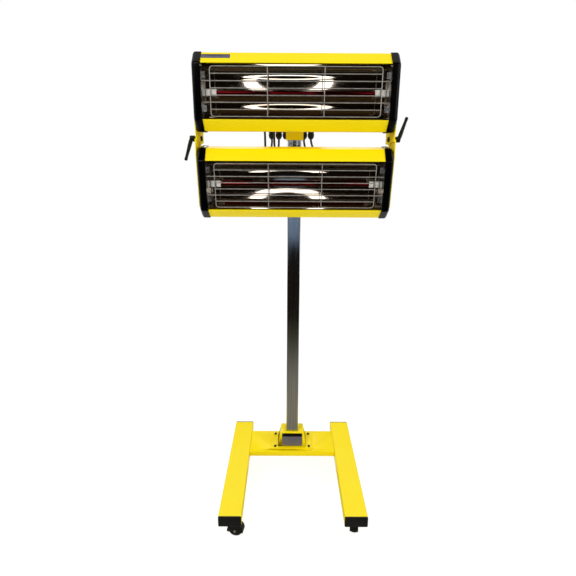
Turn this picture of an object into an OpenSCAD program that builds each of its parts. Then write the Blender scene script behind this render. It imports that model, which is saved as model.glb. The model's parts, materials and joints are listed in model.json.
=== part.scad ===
// Infrared curing lamp on a wheeled stand, two tilting lamp heads on one height carriage.
// Millimetres, +Z up, origin on the floor under the middle of the base, heads face -Y.

/* [Base] */
// Width of the base over both legs
base_w = 517; // [480:1:600]
// Length of one leg tube without its end plugs
leg_l = 586; // [560:1:660]
// Width of a leg tube
leg_w = 80; // [70:1:90]
// Height of a leg tube
leg_h = 40; // [36:1:50]
// Wall of a leg tube
leg_wall = 2; // [1.5:0.5:3]
// Visible thickness of a plastic end plug
plug_t = 5; // [4:1:8]
// Depth of a plug inside the tube
plug_in = 18; // [10:1:25]
// Height of the legs' underside above the floor
ride_h = 68; // [66:1:74]
// Depth of the crossbeam, front to back
beam_d = 155; // [150:1:170]
// Height of the crossbeam's folded edges
beam_h = 20; // [16:1:26]
// Sheet of the crossbeam
beam_t = 3; // [2:0.5:4]
// Distance of the crossbeam's middle from the legs' rear end
beam_in = 154; // [142:1:166]

/* [Column foot] */
// Width of the bolted flange
flange_w = 172; // [160:1:184]
// Depth of the bolted flange
flange_d = 118; // [110:1:130]
// Thickness of the flange
flange_t = 5; // [4:1:8]
// Sideways distance between the flange bolts
bolt_pitch_x = 143; // [135:1:148]
// Fore and aft distance between the flange bolts
bolt_pitch_y = 90; // [82:1:98]
// Thread of the flange bolts
bolt_d = 6; // [5:1:8]
// Head height of the flange bolts
bolt_head_h = 5; // [3:0.5:7]
// Length of a flange bolt below its head
bolt_l = 22; // [18:1:26]
// Width of the pedestal at its bottom
pedestal_w = 120; // [106:1:122]
// Depth of the pedestal at its bottom
pedestal_d = 94; // [88:1:100]
// Width of the pedestal at its top
pedestal_top_w = 92; // [84:1:96]
// Depth of the pedestal at its top
pedestal_top_d = 66; // [60:1:76]
// Height of the pedestal above the flange
pedestal_h = 62; // [56:1:80]
// Sheet of the pedestal
pedestal_t = 3; // [2:0.5:4]
// Width of the plain rating plate
plate_w = 86; // [60:1:88]
// Height of the plain rating plate
plate_h = 53; // [36:1:54]
// Thickness of the plain rating plate
plate_t = 0.8; // [0.5:0.1:1.5]

/* [Column] */
// Side of the square chrome column
col_s = 50; // [45:1:54]
// Wall of the column
col_wall = 2; // [1.5:0.5:3]
// Outer corner radius of the column
col_r = 4; // [3:0.5:6]
// Height of the column's top end above the tilt axis
col_over = 204; // [196:1:240]
// Thickness of the column's end cap
col_cap_t = 6; // [4:1:10]

/* [Casters] */
// Wheel diameter
wheel_d = 50; // [46:1:52]
// Wheel width
wheel_w = 20; // [18:1:22]
// Rounding of the tread
tread_r = 6; // [4:1:8]
// Trail of the wheel behind the swivel axis
trail = 16; // [14:1:18]
// Distance of each swivel axis from the leg's end
caster_in = 42; // [36:1:60]
// Outside width of the caster fork
fork_w = 30; // [29:1:33]
// Hood radius over the wheel
hood_r = 29; // [28.5:0.5:30]
// Diameter of the swivel cup
cup_d = 27; // [24:1:30]
// Axle diameter
axle_d = 6; // [5:1:7]
// Swivel stem diameter
stem_d = 10; // [8:1:11]

/* [Carriage] */
// Outside of the sliding sleeve
sleeve_s = 62; // [61:1:66]
// Wall of the sliding sleeve
sleeve_t = 3; // [2.5:0.5:3.5]
// Length of the sliding sleeve
sleeve_l = 150; // [140:1:180]
// Height of each glide pad
pad_h = 24; // [18:1:32]
// Room between glide pads and column
pad_gap = 0.3; // [0.2:0.05:0.4]
// Diameter of the lock knob
knob_d = 50; // [40:1:60]
// Height of the lock knob's grip
knob_h = 22; // [18:1:28]
// Height of the yoke's cross bar
bar_h = 40; // [36:1:44]
// Depth of the yoke's cross bar
bar_d = 25; // [20:1:28]
// Wall of the yoke's cross bar
bar_wall = 2.5; // [2:0.5:3]
// Height of the bar's underside above the tilt axis
bar_rise = 84; // [78:1:90]
// Thickness of a yoke arm
arm_t = 4; // [3:0.5:5]
// Radius of a yoke arm's end round the stud
arm_r = 20; // [18:1:22]

/* [Heads] */
// Length of the yellow head shell
shell_l = 580; // [560:1:600]
// Height of a head
head_h = 228; // [224:1:232]
// Depth of a head
head_d = 105; // [98:1:106]
// Height of the window
window_h = 160; // [150:1:164]
// Depth of the slanted bands above and below the window
band_d = 35; // [30:1:38]
// Rear corner bevel of a head
back_bevel = 16; // [10:1:20]
// Wall of the head shell
shell_t = 2.5; // [2:0.5:3]
// Depth of the lips that frame the window
lip_d = 9; // [6:1:12]
// Distance of the window plane in front of the tilt axis
front_reach = 109; // [108:1:114]
// Distance of a head's middle from the tilt axis
head_rise = 136; // [136:1:140]
// Tilt of the upper head at rest, face down
upper_tilt = 1.3; // [0:0.1:2]
// Tilt of the lower head at rest, face down
lower_tilt = 8.8; // [8:0.1:10]
// Height of the tilt axis above the floor
pivot_z = 1356; // [1340:1:1366]
// Distance of the tilt axis behind the origin
pivot_y = 26; // [22:1:30]
// Thickness of an end cap
cap_t = 27; // [24:1:30]
// How far an end cap stands proud of the shell
cap_proud = 3; // [2:0.5:4]
// Wall of an end cap
cap_wall = 3; // [2.5:0.5:4]
// Thickness of a hinge plate
hinge_t = 3; // [2.5:0.5:4]
// Tilt stud diameter
stud_d = 10; // [8:1:12]
// Running clearance of a pin in its bore, on the radius
run_gap = 0.05; // [0.02:0.01:0.09]
// Clearance between neighbours that move
move_gap = 0.4; // [0.3:0.1:0.6]
// How far the lamp's ceramic ends reach past the shell
lamp_over = 2; // [0:0.5:2.5]
// Diameter of the quartz tube
tube_d = 12; // [10:1:13]
// Distance of the quartz tube behind the window plane
tube_in = 38; // [34:1:44]
// Length of a ceramic end
ceramic_l = 44; // [36:1:50]
// Height of a ceramic end
ceramic_h = 20; // [16:1:22]
// Depth of a ceramic end
ceramic_d = 15; // [14:1:18]
// Depth of the reflector trough
trough_d = 66; // [60:1:72]
// Sheet of the reflector
mirror_t = 1; // [0.8:0.1:1.5]
// Wire of the grille
wire_d = 3; // [2.5:0.5:3.5]
// Height over the grille's wires
grille_h = 146; // [130:1:150]
// Distance of the grille's looped part from the shell's ends
grille_side = 27; // [20:1:36]
// Number of long grille wires
grille_n = 8; // [6:1:9]

/* [Control box] */
// Width of the control box
box_w = 210; // [204:1:230]
// Depth of the control box
box_d = 80; // [74:1:90]
// Height of the control box
box_h = 180; // [160:1:200]
// Wall of the control box
box_t = 2; // [1.5:0.5:3]
// Height of the box's underside above the tilt axis
box_rise = 36; // [32:1:40]
// Thickness of the box's cover
cover_t = 3; // [2:0.5:4]
// Diameter of the timer knob
timer_d = 42; // [36:1:48]
// Height of the timer knob
timer_h = 18; // [14:1:22]
// Width of the rocker switch
rocker_w = 20; // [18:1:24]
// Height of the rocker switch
rocker_h = 28; // [26:1:32]
// Diameter over a cable gland's nut
gland_d = 22; // [20:1:24]
// Length of a cable gland outside the wall
gland_l = 30; // [26:1:32]
// Diameter of the head cables
cable_d = 7.5; // [6.5:0.5:8]

/* [Clamp levers] */
// Diameter of a lever's hub
hub_d = 18; // [16:1:20]
// Length of a lever's hub
hub_l = 27; // [24:1:32]
// Length of a lever's arm
lever_l = 70; // [64:1:76]
// Outward slant of a lever's arm
lever_slant = 18; // [15:1:22]

/* [Hidden] */

yellow = "#f6e000";
black = "#15161a";
$fn = 48;
cut = 1;
fit_gap = 0.2;

leg_x = (base_w - leg_w) / 2;
leg_top = ride_h + leg_h;
beam_l = base_w - 2 * leg_w;
base_l = leg_l + 2 * plug_t;
beam_y = base_l / 2 - beam_in;
plug_play = 0.1;

// Caster sizes that follow the wheel and the stem
wheel_r = wheel_d / 2;
caster_y = base_l / 2 - caster_in;
caster_x = [-leg_x, leg_x, -leg_x, leg_x];
caster_dy = [-caster_y, -caster_y, caster_y, caster_y];
rest_turn = [-10, 80, -70, -100];
stem_plate_d = 34;
stem_plate_t = 3;
stem_up = 16;
stem_nut_d = 17;
stem_nut_h = 6;
cup_play = 0.5;
pintle_l = 13;
wheel_play = 1.2;
cheek_r = 12;
hood_low = 20;
axle_head_d = 9;
axle_head_t = 1.5;
hub_face_d = 11;
hub_recess = 2.5;

pedestal_z = leg_top + flange_t;
pedestal_rim = pedestal_t / 10;
pedestal_lean = atan((pedestal_d - pedestal_top_d) / 2 / (pedestal_h - pedestal_rim));
bolt_head_d = 10;
bolt_play = 0.25;
plate_rise = 4;

pad_in = 8;
knob_boss_d = 26;
knob_boss_l = 10;
knob_stud_d = 10;
knob_rise = 110;
knob_neck_d = 22;
knob_neck_l = 8;
knob_lobe_d = 14;
knob_lobes = 6;
knob_tip_gap = 0.5;

// Plates stacked on the tilt stud, counted outwards from the end caps
cap_face = shell_l / 2 + cap_t;
upper_plate_x = cap_face + move_gap;
lower_plate_x = upper_plate_x + hinge_t + move_gap;
arm_x = lower_plate_x + hinge_t + move_gap;
lever_x = arm_x + arm_t + move_gap;
stud_head_d = 17;
stud_head_t = 5;
stud_end = 16;
hinge_r = 22;
hinge_in = 26;
hinge_edge = 8;
hinge_top = 46;
hinge_back = 24;
spacer_d = 16;
spacer_z = [64, 200];
spacer_in = 60;

col_top = pivot_z + col_over;
bar_z = pivot_z + bar_rise;
bar_y = beam_y - sleeve_s / 2 - bar_d;
arm_lap = 6;
arm_back = bar_y + bar_d + arm_lap - pivot_y;
arm_nose = 14;

oct_share = tan(22.5);
dome_in = 9;
dome_h = 9;
vent_n = 14;
vent_w = 5;
vent_l = 70;
vent_pitch = 34;
trough_steps = 16;
trough_half = window_h / 2 - shell_t - fit_gap;
end_face = 4;
end_hole_d = 8;
clip_t = 1.2;
clip_w = 14;
clip_reach = 6;
ceramic_in = 8;
wire_in = cap_wall + fit_gap + wire_d / 2;
post_n = 4;
grille_w = shell_l - 2 * grille_side;
lamp_l = shell_l + 2 * lamp_over;
hook_n = 2;
head_gland_l = 16;
head_gland_d = 17;
head_shank_d = 12;
upper_gland_x = [-104, -72];
lower_gland_x = [112, 146];
upper_gland_z = 52;
lower_gland_z = 60;

box_y = beam_y + sleeve_s / 2;
box_z = pivot_z + box_rise;
gland_edge_left = 21;
gland_edge_right = 43;
gland_pitch = 26;
gland_x = [gland_edge_left - box_w / 2, gland_edge_left + gland_pitch - box_w / 2,
    gland_edge_left + 2 * gland_pitch - box_w / 2,
    box_w / 2 - gland_edge_right - gland_pitch, box_w / 2 - gland_edge_right];
gland_in_y = 38;
gland_nut_h = 9;
gland_tip_d = 14;
gland_tip_l = 12;
gland_taper = 2;
timer_rise = 118;
timer_cap_d = 30;
timer_shaft_d = 6;
timer_shaft_in = 12;
timer_x = -34;
timer_rib_w = 9;
timer_body = 48;
timer_body_d = 34;
block_w = 60;
block_d = 22;
block_h = 28;
block_x = 20;
block_rise = 40;
block_n = 5;
rocker_x = 46;
rocker_rise = 118;
rocker_in = 12;
rocker_out = 3;
rocker_tip = 4;
rocker_play = 0.5;

hub_taper = 2;
lever_root_d = 13;
lever_tip_d = 9;
lever_bore_l = 18;

// Routes of the head cables: the left pair loops up into the upper head, the right pair goes to the lower
function head_mouth(x, tilt, z) =
    let (y = head_d - front_reach + head_gland_l)
    [x, pivot_y + y * cos(tilt) - z * sin(tilt), pivot_z + y * sin(tilt) + z * cos(tilt)];

function box_mouth(x) = [x, box_y + gland_in_y, box_z - gland_l];

upper_inner = [[-58, 213, 1350], [-59, 211, 1334], [-61, 206, 1318], [-63, 197, 1304], [-65, 184, 1294],
    [-66, 169, 1289], [-67, 153, 1289], [-68, 138, 1294], [-69, 125, 1303], [-70, 115, 1316],
    [-71, 108, 1331], [-72, 102, 1347], [-72, 95, 1363], [-72, 86, 1378], [-72, 75, 1391],
    [-72, 62, 1402], [-72, 50, 1408]];
upper_outer = [[-84, 213, 1350], [-86, 210, 1332], [-89, 203, 1314], [-92, 192, 1299], [-95, 177, 1288],
    [-98, 160, 1283], [-100, 143, 1284], [-102, 128, 1291], [-103, 116, 1303], [-104, 107, 1318],
    [-104, 101, 1335], [-104, 95, 1352], [-104, 88, 1368], [-104, 78, 1383], [-104, 66, 1396],
    [-104, 51, 1407]];
lower_inner = [[37, 213, 1350], [40, 211, 1336], [46, 207, 1322], [54, 200, 1311], [63, 191, 1302],
    [73, 179, 1296], [83, 165, 1292], [92, 150, 1290], [100, 134, 1290], [106, 118, 1292],
    [110, 101, 1296], [112, 84, 1300], [112, 66, 1301]];
lower_outer = [[64, 213, 1350], [69, 211, 1335], [77, 207, 1321], [87, 200, 1310], [98, 190, 1300],
    [109, 178, 1293], [120, 164, 1288], [130, 148, 1286], [138, 132, 1286], [143, 116, 1289],
    [146, 99, 1294], [146, 82, 1299], [146, 65, 1301]];
cable_sides = 8;

// Plain helpers

module rounded(w, d, r) {
    square([w - 2 * r, d], center = true);
    square([w, d - 2 * r], center = true);
    for (x = [-1, 1])
        for (y = [-1, 1])
            translate([x * (w / 2 - r), y * (d / 2 - r)])
                circle(r);
}

module along_x(len) {
    rotate([90, 0, 90])
        linear_extrude(len, center = true)
            children();
}

module x_rod(d, len) {
    rotate([0, 90, 0])
        cylinder(h = len, d = d, center = true);
}

module y_rod(d, len) {
    rotate([-90, 0, 0])
        cylinder(h = len, d = d);
}

// Base

module leg_tube(side) {
    translate([side * leg_x, 0, ride_h + leg_h / 2])
        difference() {
            rotate([90, 0, 0])
                linear_extrude(leg_l, center = true)
                    difference() {
                        rounded(leg_w, leg_h, leg_wall * 2);
                        rounded(leg_w - 2 * leg_wall, leg_h - 2 * leg_wall, leg_wall);
                    }
            for (end = [-1, 1])
                translate([0, end * caster_y, -leg_h / 2 - cut])
                    cylinder(h = leg_wall + 2 * cut, d = stem_d + 2 * fit_gap);
        }
}

module leg_left() {
    color(yellow)
        leg_tube(-1);
}

module leg_right() {
    color(yellow)
        leg_tube(1);
}

module crossbeam() {
    color(yellow)
        translate([0, beam_y, leg_top])
            difference() {
                translate([-beam_l / 2, -beam_d / 2, -beam_h])
                    cube([beam_l, beam_d, beam_h]);
                translate([-beam_l / 2 - cut, -beam_d / 2 + beam_t, -beam_h - cut])
                    cube([beam_l + 2 * cut, beam_d - 2 * beam_t, beam_h - beam_t + cut]);
                bolt_places()
                    translate([0, 0, -beam_t - cut])
                        cylinder(h = beam_t + 2 * cut, d = bolt_d + 2 * bolt_play);
            }
}

module leg_end_plugs() {
    inner_w = leg_w - 2 * leg_wall - 2 * plug_play;
    inner_h = leg_h - 2 * leg_wall - 2 * plug_play;
    color(black)
        for (side = [-1, 1])
            for (end = [-1, 1])
                translate([side * leg_x, end * leg_l / 2, ride_h + leg_h / 2])
                    rotate([90 * end, 0, 0])
                        union() {
                            translate([0, 0, -plug_t])
                                linear_extrude(plug_t)
                                    rounded(leg_w, leg_h, leg_wall * 2);
                            linear_extrude(plug_in)
                                difference() {
                                    rounded(inner_w, inner_h, leg_wall);
                                    square([inner_w - 4 * leg_wall, inner_h - 4 * leg_wall], center = true);
                                }
                        }
}

module bolt_places() {
    for (x = [-1, 1])
        for (y = [-1, 1])
            translate([x * bolt_pitch_x / 2, y * bolt_pitch_y / 2, 0])
                children();
}

module pedestal_body(w, d, top_w, top_d, low, high) {
    hull() {
        translate([-w / 2, -d / 2, low])
            cube([w, d, pedestal_rim]);
        translate([-top_w / 2, -top_d / 2, high - pedestal_rim])
            cube([top_w, top_d, pedestal_rim]);
    }
}

module column_foot() {
    wall = 2 * pedestal_t;
    color(yellow)
        translate([0, beam_y, leg_top])
            difference() {
                union() {
                    linear_extrude(flange_t)
                        rounded(flange_w, flange_d, flange_t);
                    difference() {
                        pedestal_body(pedestal_w, pedestal_d, pedestal_top_w, pedestal_top_d,
                            flange_t, flange_t + pedestal_h);
                        pedestal_body(pedestal_w - wall, pedestal_d - wall,
                            pedestal_top_w - wall, pedestal_top_d - wall,
                            flange_t - pedestal_rim, flange_t + pedestal_h - pedestal_t);
                    }
                }
                translate([0, 0, flange_t])
                    linear_extrude(pedestal_h + cut)
                        rounded(col_s + 2 * fit_gap, col_s + 2 * fit_gap, col_r);
                bolt_places()
                    translate([0, 0, -cut])
                        cylinder(h = flange_t + 2 * cut, d = bolt_d + 2 * bolt_play);
            }
}

module foot_bolts() {
    color(black)
        translate([0, beam_y, pedestal_z])
            bolt_places()
                difference() {
                    union() {
                        cylinder(h = bolt_head_h, d = bolt_head_d);
                        translate([0, 0, -bolt_l])
                            cylinder(h = bolt_l, d = bolt_d);
                        translate([0, 0, -flange_t - beam_t - bolt_head_h])
                            cylinder(h = bolt_head_h, d = bolt_head_d, $fn = 6);
                    }
                    translate([0, 0, bolt_head_h / 2])
                        cylinder(h = bolt_head_h, d = bolt_head_d / 2, $fn = 6);
                }
}

module rating_plate() {
    color("#8f9096")
        translate([0, beam_y - pedestal_d / 2, pedestal_z + pedestal_rim])
            rotate([-pedestal_lean, 0, 0])
                translate([-plate_w / 2, -plate_t, plate_rise])
                    cube([plate_w, plate_t, plate_h]);
}

module column() {
    color("#b9bcc0")
        translate([0, beam_y, pedestal_z])
            linear_extrude(col_top - pedestal_z)
                difference() {
                    rounded(col_s, col_s, col_r);
                    rounded(col_s - 2 * col_wall, col_s - 2 * col_wall, col_r - col_wall);
                }
}

module column_cap() {
    inner = col_s - 2 * col_wall - 2 * plug_play;
    color(black)
        translate([0, beam_y, col_top]) {
            linear_extrude(col_cap_t)
                rounded(col_s, col_s, col_r);
            translate([0, 0, -plug_in])
                linear_extrude(plug_in)
                    difference() {
                        rounded(inner, inner, col_wall);
                        square(inner - 4 * col_wall, center = true);
                    }
        }
}

// Casters

module caster_place(i) {
    translate([caster_x[i], caster_dy[i], 0])
        rotate([0, 0, rest_turn[i]])
            children();
}

module caster_stems() {
    color("#6d7075")
        for (i = [0:3])
            translate([caster_x[i], caster_dy[i], ride_h]) {
                translate([0, 0, -stem_plate_t])
                    cylinder(h = stem_plate_t, d = stem_plate_d);
                translate([0, 0, -stem_plate_t - pintle_l])
                    cylinder(h = stem_plate_t + pintle_l + stem_up, d = stem_d);
                translate([0, 0, leg_wall])
                    cylinder(h = stem_nut_h, d = stem_nut_d, $fn = 6);
            }
}

module fork_side() {
    intersection() {
        translate([trail, wheel_r])
            circle(hood_r);
        translate([trail - hood_r, hood_low])
            square([2 * hood_r, 2 * hood_r]);
    }
    translate([trail, wheel_r])
        circle(cheek_r);
}

module caster_fork(i) {
    cup_top = ride_h - stem_plate_t - cup_play;
    color(black)
        caster_place(i)
            difference() {
                union() {
                    rotate([90, 0, 0])
                        linear_extrude(fork_w, center = true)
                            fork_side();
                    translate([0, 0, wheel_r + hood_r / 2])
                        cylinder(h = cup_top - wheel_r - hood_r / 2, d = cup_d);
                }
                translate([trail, 0, wheel_r])
                    rotate([90, 0, 0])
                        cylinder(h = wheel_w + 2 * wheel_play, r = wheel_r + wheel_play, center = true);
                translate([0, 0, cup_top - pintle_l])
                    cylinder(h = pintle_l + cut, r = stem_d / 2 + run_gap);
                translate([trail, 0, wheel_r])
                    rotate([90, 0, 0])
                        cylinder(h = fork_w + 2 * cut, r = axle_d / 2 + run_gap, center = true);
            }
}

module caster_wheel(i) {
    half = wheel_w / 2;
    color("#1c1d20")
        caster_place(i)
            translate([trail, 0, wheel_r])
                rotate([90, 0, 0])
                    difference() {
                        rotate_extrude($fn = 96) {
                            translate([0, -half])
                                square([wheel_r - tread_r, wheel_w]);
                            translate([0, -half + tread_r])
                                square([wheel_r, wheel_w - 2 * tread_r]);
                            translate([wheel_r - tread_r, half - tread_r])
                                circle(tread_r);
                            translate([wheel_r - tread_r, tread_r - half])
                                circle(tread_r);
                        }
                        cylinder(h = wheel_w + 2 * cut, r = axle_d / 2 + run_gap, center = true);
                        for (face = [0, 1])
                            mirror([0, 0, face])
                                translate([0, 0, half - hub_recess])
                                    difference() {
                                        cylinder(h = hub_recess + cut, r = wheel_r - tread_r - axle_head_t);
                                        cylinder(h = hub_recess + cut, d = hub_face_d);
                                    }
                    }
}

module caster_axle(i) {
    color("#9a9da3")
        caster_place(i)
            translate([trail, 0, wheel_r])
                rotate([90, 0, 0]) {
                    cylinder(h = fork_w, d = axle_d, center = true);
                    for (face = [0, 1])
                        mirror([0, 0, face])
                            translate([0, 0, fork_w / 2])
                                cylinder(h = axle_head_t, d = axle_head_d);
                }
}

// Carriage

module carriage_sleeve() {
    color(yellow)
        translate([0, beam_y, pivot_z])
            difference() {
                union() {
                    linear_extrude(sleeve_l)
                        rounded(sleeve_s, sleeve_s, sleeve_t * 2);
                    translate([sleeve_s / 2 - sleeve_t / 2, 0, knob_rise])
                        rotate([0, 90, 0])
                            cylinder(h = knob_boss_l + sleeve_t / 2, d = knob_boss_d);
                }
                translate([0, 0, -cut])
                    linear_extrude(sleeve_l + 2 * cut)
                        rounded(sleeve_s - 2 * sleeve_t, sleeve_s - 2 * sleeve_t, sleeve_t);
                translate([0, 0, knob_rise])
                    rotate([0, 90, 0])
                        cylinder(h = sleeve_s, r = knob_stud_d / 2 + run_gap);
            }
}

module glide_pads() {
    outer = sleeve_s - 2 * sleeve_t;
    inner = col_s + 2 * pad_gap;
    color("#2a2b2f")
        for (z = [pad_in, sleeve_l - pad_in - pad_h])
            translate([0, beam_y, pivot_z + z])
                linear_extrude(pad_h)
                    difference() {
                        rounded(outer, outer, sleeve_t);
                        rounded(inner, inner, col_r);
                    }
}

module lock_knob() {
    tip = col_s / 2 + knob_tip_gap;
    base = sleeve_s / 2 + knob_boss_l + move_gap;
    color(black)
        translate([0, beam_y, pivot_z + knob_rise])
            rotate([0, 90, 0]) {
                translate([0, 0, tip])
                    cylinder(h = base - tip + knob_neck_l, d = knob_stud_d);
                translate([0, 0, base])
                    cylinder(h = knob_neck_l, d = knob_neck_d);
                translate([0, 0, base + knob_neck_l]) {
                    cylinder(h = knob_h, d = knob_d - knob_lobe_d);
                    for (i = [0:knob_lobes - 1])
                        rotate([0, 0, 360 * i / knob_lobes])
                            translate([(knob_d - knob_lobe_d) / 2, 0, 0])
                                cylinder(h = knob_h, d = knob_lobe_d);
                }
            }
}

module arm_outline() {
    circle(arm_r);
    polygon([[-arm_r, 0], [0, -arm_r], [arm_back, -arm_r + arm_nose / 2], [arm_back, bar_rise + bar_h],
        [bar_y - pivot_y - arm_nose, bar_rise + bar_h]]);
}

module head_yoke() {
    color(yellow)
        union() {
            translate([0, bar_y + bar_d / 2, bar_z + bar_h / 2])
                along_x(2 * arm_x + arm_t)
                    difference() {
                        rounded(bar_d, bar_h, bar_wall);
                        rounded(bar_d - 2 * bar_wall, bar_h - 2 * bar_wall, bar_wall / 2);
                    }
            for (side = [-1, 1])
                translate([side * (arm_x + arm_t / 2), pivot_y, pivot_z])
                    difference() {
                        along_x(arm_t)
                            arm_outline();
                        x_rod(stud_d + 2 * run_gap, arm_t + 2 * cut);
                    }
        }
}

module pivot_studs() {
    inner = upper_plate_x - move_gap;
    color("#4b4d52")
        for (side = [-1, 1])
            translate([side * inner, pivot_y, pivot_z])
                rotate([0, side * 90, 0]) {
                    translate([0, 0, -stud_head_t])
                        cylinder(h = stud_head_t, d = stud_head_d);
                    cylinder(h = lever_x + stud_end - inner, d = stud_d);
                }
}

module clamp_lever(side) {
    color(black)
        translate([side * lever_x, pivot_y, pivot_z])
            rotate([0, side * 90, 0])
                difference() {
                    union() {
                        cylinder(h = hub_l, d1 = hub_d, d2 = hub_d - hub_taper);
                        translate([0, 0, hub_l - lever_root_d / 2])
                            sphere(d = lever_root_d + hub_taper);
                        translate([0, 0, hub_l - lever_root_d / 2])
                            rotate([0, lever_slant - 90, 0]) {
                                cylinder(h = lever_l, d1 = lever_root_d, d2 = lever_tip_d);
                                translate([0, 0, lever_l])
                                    sphere(d = lever_tip_d + hub_taper);
                            }
                    }
                    translate([0, 0, -cut])
                        cylinder(h = lever_bore_l + cut, r = stud_d / 2 + run_gap);
                }
}

// Control box

module control_box() {
    color(yellow)
        translate([0, box_y, box_z])
            difference() {
                translate([-box_w / 2, 0, 0])
                    cube([box_w, box_d, box_h]);
                translate([-box_w / 2 + box_t, box_t, box_t])
                    cube([box_w - 2 * box_t, box_d, box_h - 2 * box_t]);
                for (x = gland_x)
                    translate([x, gland_in_y, -cut])
                        cylinder(h = box_t + 2 * cut, d = gland_tip_d + 2 * fit_gap);
            }
}

module control_cover() {
    hole_w = rocker_w + 2 * rocker_play;
    hole_h = rocker_h + 2 * rocker_play;
    color("#2b2d31")
        translate([0, box_y + box_d, box_z])
            difference() {
                translate([-box_w / 2, 0, 0])
                    cube([box_w, cover_t, box_h]);
                translate([timer_x, -cut, timer_rise])
                    y_rod(timer_shaft_d + 2 * run_gap, cover_t + 2 * cut);
                translate([rocker_x - hole_w / 2, -cut, rocker_rise - hole_h / 2])
                    cube([hole_w, cover_t + 2 * cut, hole_h]);
            }
}

module timer_unit() {
    color("#c8c9c4")
        translate([timer_x, box_y + box_d, box_z + timer_rise])
            difference() {
                translate([-timer_body / 2, -timer_body_d, -timer_body / 2])
                    cube([timer_body, timer_body_d, timer_body]);
                translate([0, -timer_shaft_in - fit_gap, 0])
                    y_rod(timer_shaft_d + 2 * run_gap, timer_shaft_in + fit_gap + cut);
            }
}

module timer_knob() {
    color(black)
        translate([timer_x, box_y + box_d + cover_t + move_gap, box_z + timer_rise]) {
            y_rod(timer_d, timer_h / 3);
            y_rod(timer_cap_d, timer_h * 2 / 3);
            translate([-timer_rib_w / 2, 0, -timer_cap_d / 2])
                cube([timer_rib_w, timer_h, timer_cap_d]);
            translate([0, -cover_t - timer_shaft_in, 0])
                y_rod(timer_shaft_d, cover_t + timer_shaft_in + timer_h / 3);
        }
}

module terminal_block() {
    color("#dedbd0")
        translate([block_x - block_w / 2, box_y + box_t, box_z + block_rise])
            difference() {
                cube([block_w, block_d, block_h]);
                for (i = [0:block_n - 1])
                    translate([block_w * (i + 1 / 2) / block_n, block_d / 2, block_h / 2])
                        y_rod(block_w / block_n / 2, block_d);
            }
}

module rocker_switch() {
    color("#b3261e")
        translate([rocker_x, box_y + box_d + cover_t / 2, box_z + rocker_rise])
            rotate([rocker_tip, 0, 0])
                intersection() {
                    x_rod(rocker_h, rocker_w);
                    translate([-rocker_w / 2, -rocker_in, -rocker_h / 2])
                        cube([rocker_w, rocker_in + cover_t / 2 + rocker_out, rocker_h]);
                }
}

module box_glands() {
    color(black)
        for (x = gland_x)
            translate([x, box_y + gland_in_y, box_z]) {
                translate([0, 0, -gland_nut_h])
                    cylinder(h = gland_nut_h, d = gland_d);
                translate([0, 0, -gland_nut_h])
                    cylinder(h = gland_nut_h + box_t + gland_tip_l / 2, d = gland_tip_d);
                translate([0, 0, -gland_l + gland_tip_l])
                    cylinder(h = gland_l - gland_tip_l - gland_nut_h, d = gland_d);
                translate([0, 0, -gland_l])
                    cylinder(h = gland_tip_l, d1 = gland_tip_d, d2 = gland_d - gland_taper);
            }
}

// Head cables as swept tubes: one ring for each point of the route

function unit(v) = v / norm(v);

function heading(p, i) = unit(p[min(i + 1, len(p) - 1)] - p[max(i - 1, 0)]);

function ring(centre, t, r) =
    let (n = unit([1, 0, 0] - t[0] * t), b = cross(t, n))
    [for (k = [0:cable_sides - 1])
        centre + r * (cos(360 * k / cable_sides) * n + sin(360 * k / cable_sides) * b)];

module cable(exit_x, middle, mouth, tilt) {
    route = concat([box_mouth(exit_x)], middle, [mouth]);
    last = len(route) - 1;
    into_head = [0, -cos(tilt), -sin(tilt)];
    rings = [for (i = [0:last])
        each ring(route[i], i == 0 ? [0, 0, -1] : i == last ? into_head : heading(route, i), cable_d / 2)];
    walls = [for (i = [0:last - 1])
        for (k = [0:cable_sides - 1])
            let (a = i * cable_sides + k, b = i * cable_sides + (k + 1) % cable_sides)
            each [[a, b + cable_sides, b], [a, a + cable_sides, b + cable_sides]]];
    start = [for (k = [0:cable_sides - 1]) k];
    finish = [for (k = [cable_sides - 1:-1:0]) last * cable_sides + k];
    color(black)
        polyhedron(points = rings, faces = concat([start], walls, [finish]));
}

module upper_cable(i, middle) {
    cable(gland_x[1 - i], middle, head_mouth(upper_gland_x[1 - i], upper_tilt, upper_gland_z), upper_tilt);
}

module lower_cable(i, middle) {
    cable(gland_x[3 + i], middle, head_mouth(lower_gland_x[i], lower_tilt, -lower_gland_z), lower_tilt);
}

// Heads: drawn about the middle of the window plane, +Y into the head

module upper() {
    translate([0, pivot_y, pivot_z])
        rotate([upper_tilt, 0, 0])
            children();
}

module lower() {
    translate([0, pivot_y, pivot_z])
        rotate([lower_tilt, 0, 0])
            mirror([0, 0, 1])
                children();
}

module head_middle() {
    translate([0, -front_reach, head_rise])
        children();
}

function head_outline(g) =
    let (front = window_h / 2 + oct_share * g, top = head_h / 2 + g, back = head_d + g,
        band = band_d - oct_share * g, bevel = back_bevel - oct_share * g)
    [[-g, -front], [-g, front], [band, top], [head_d - bevel, top], [back, head_h / 2 - bevel],
        [back, bevel - head_h / 2], [head_d - bevel, -top], [band, -top]];

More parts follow.
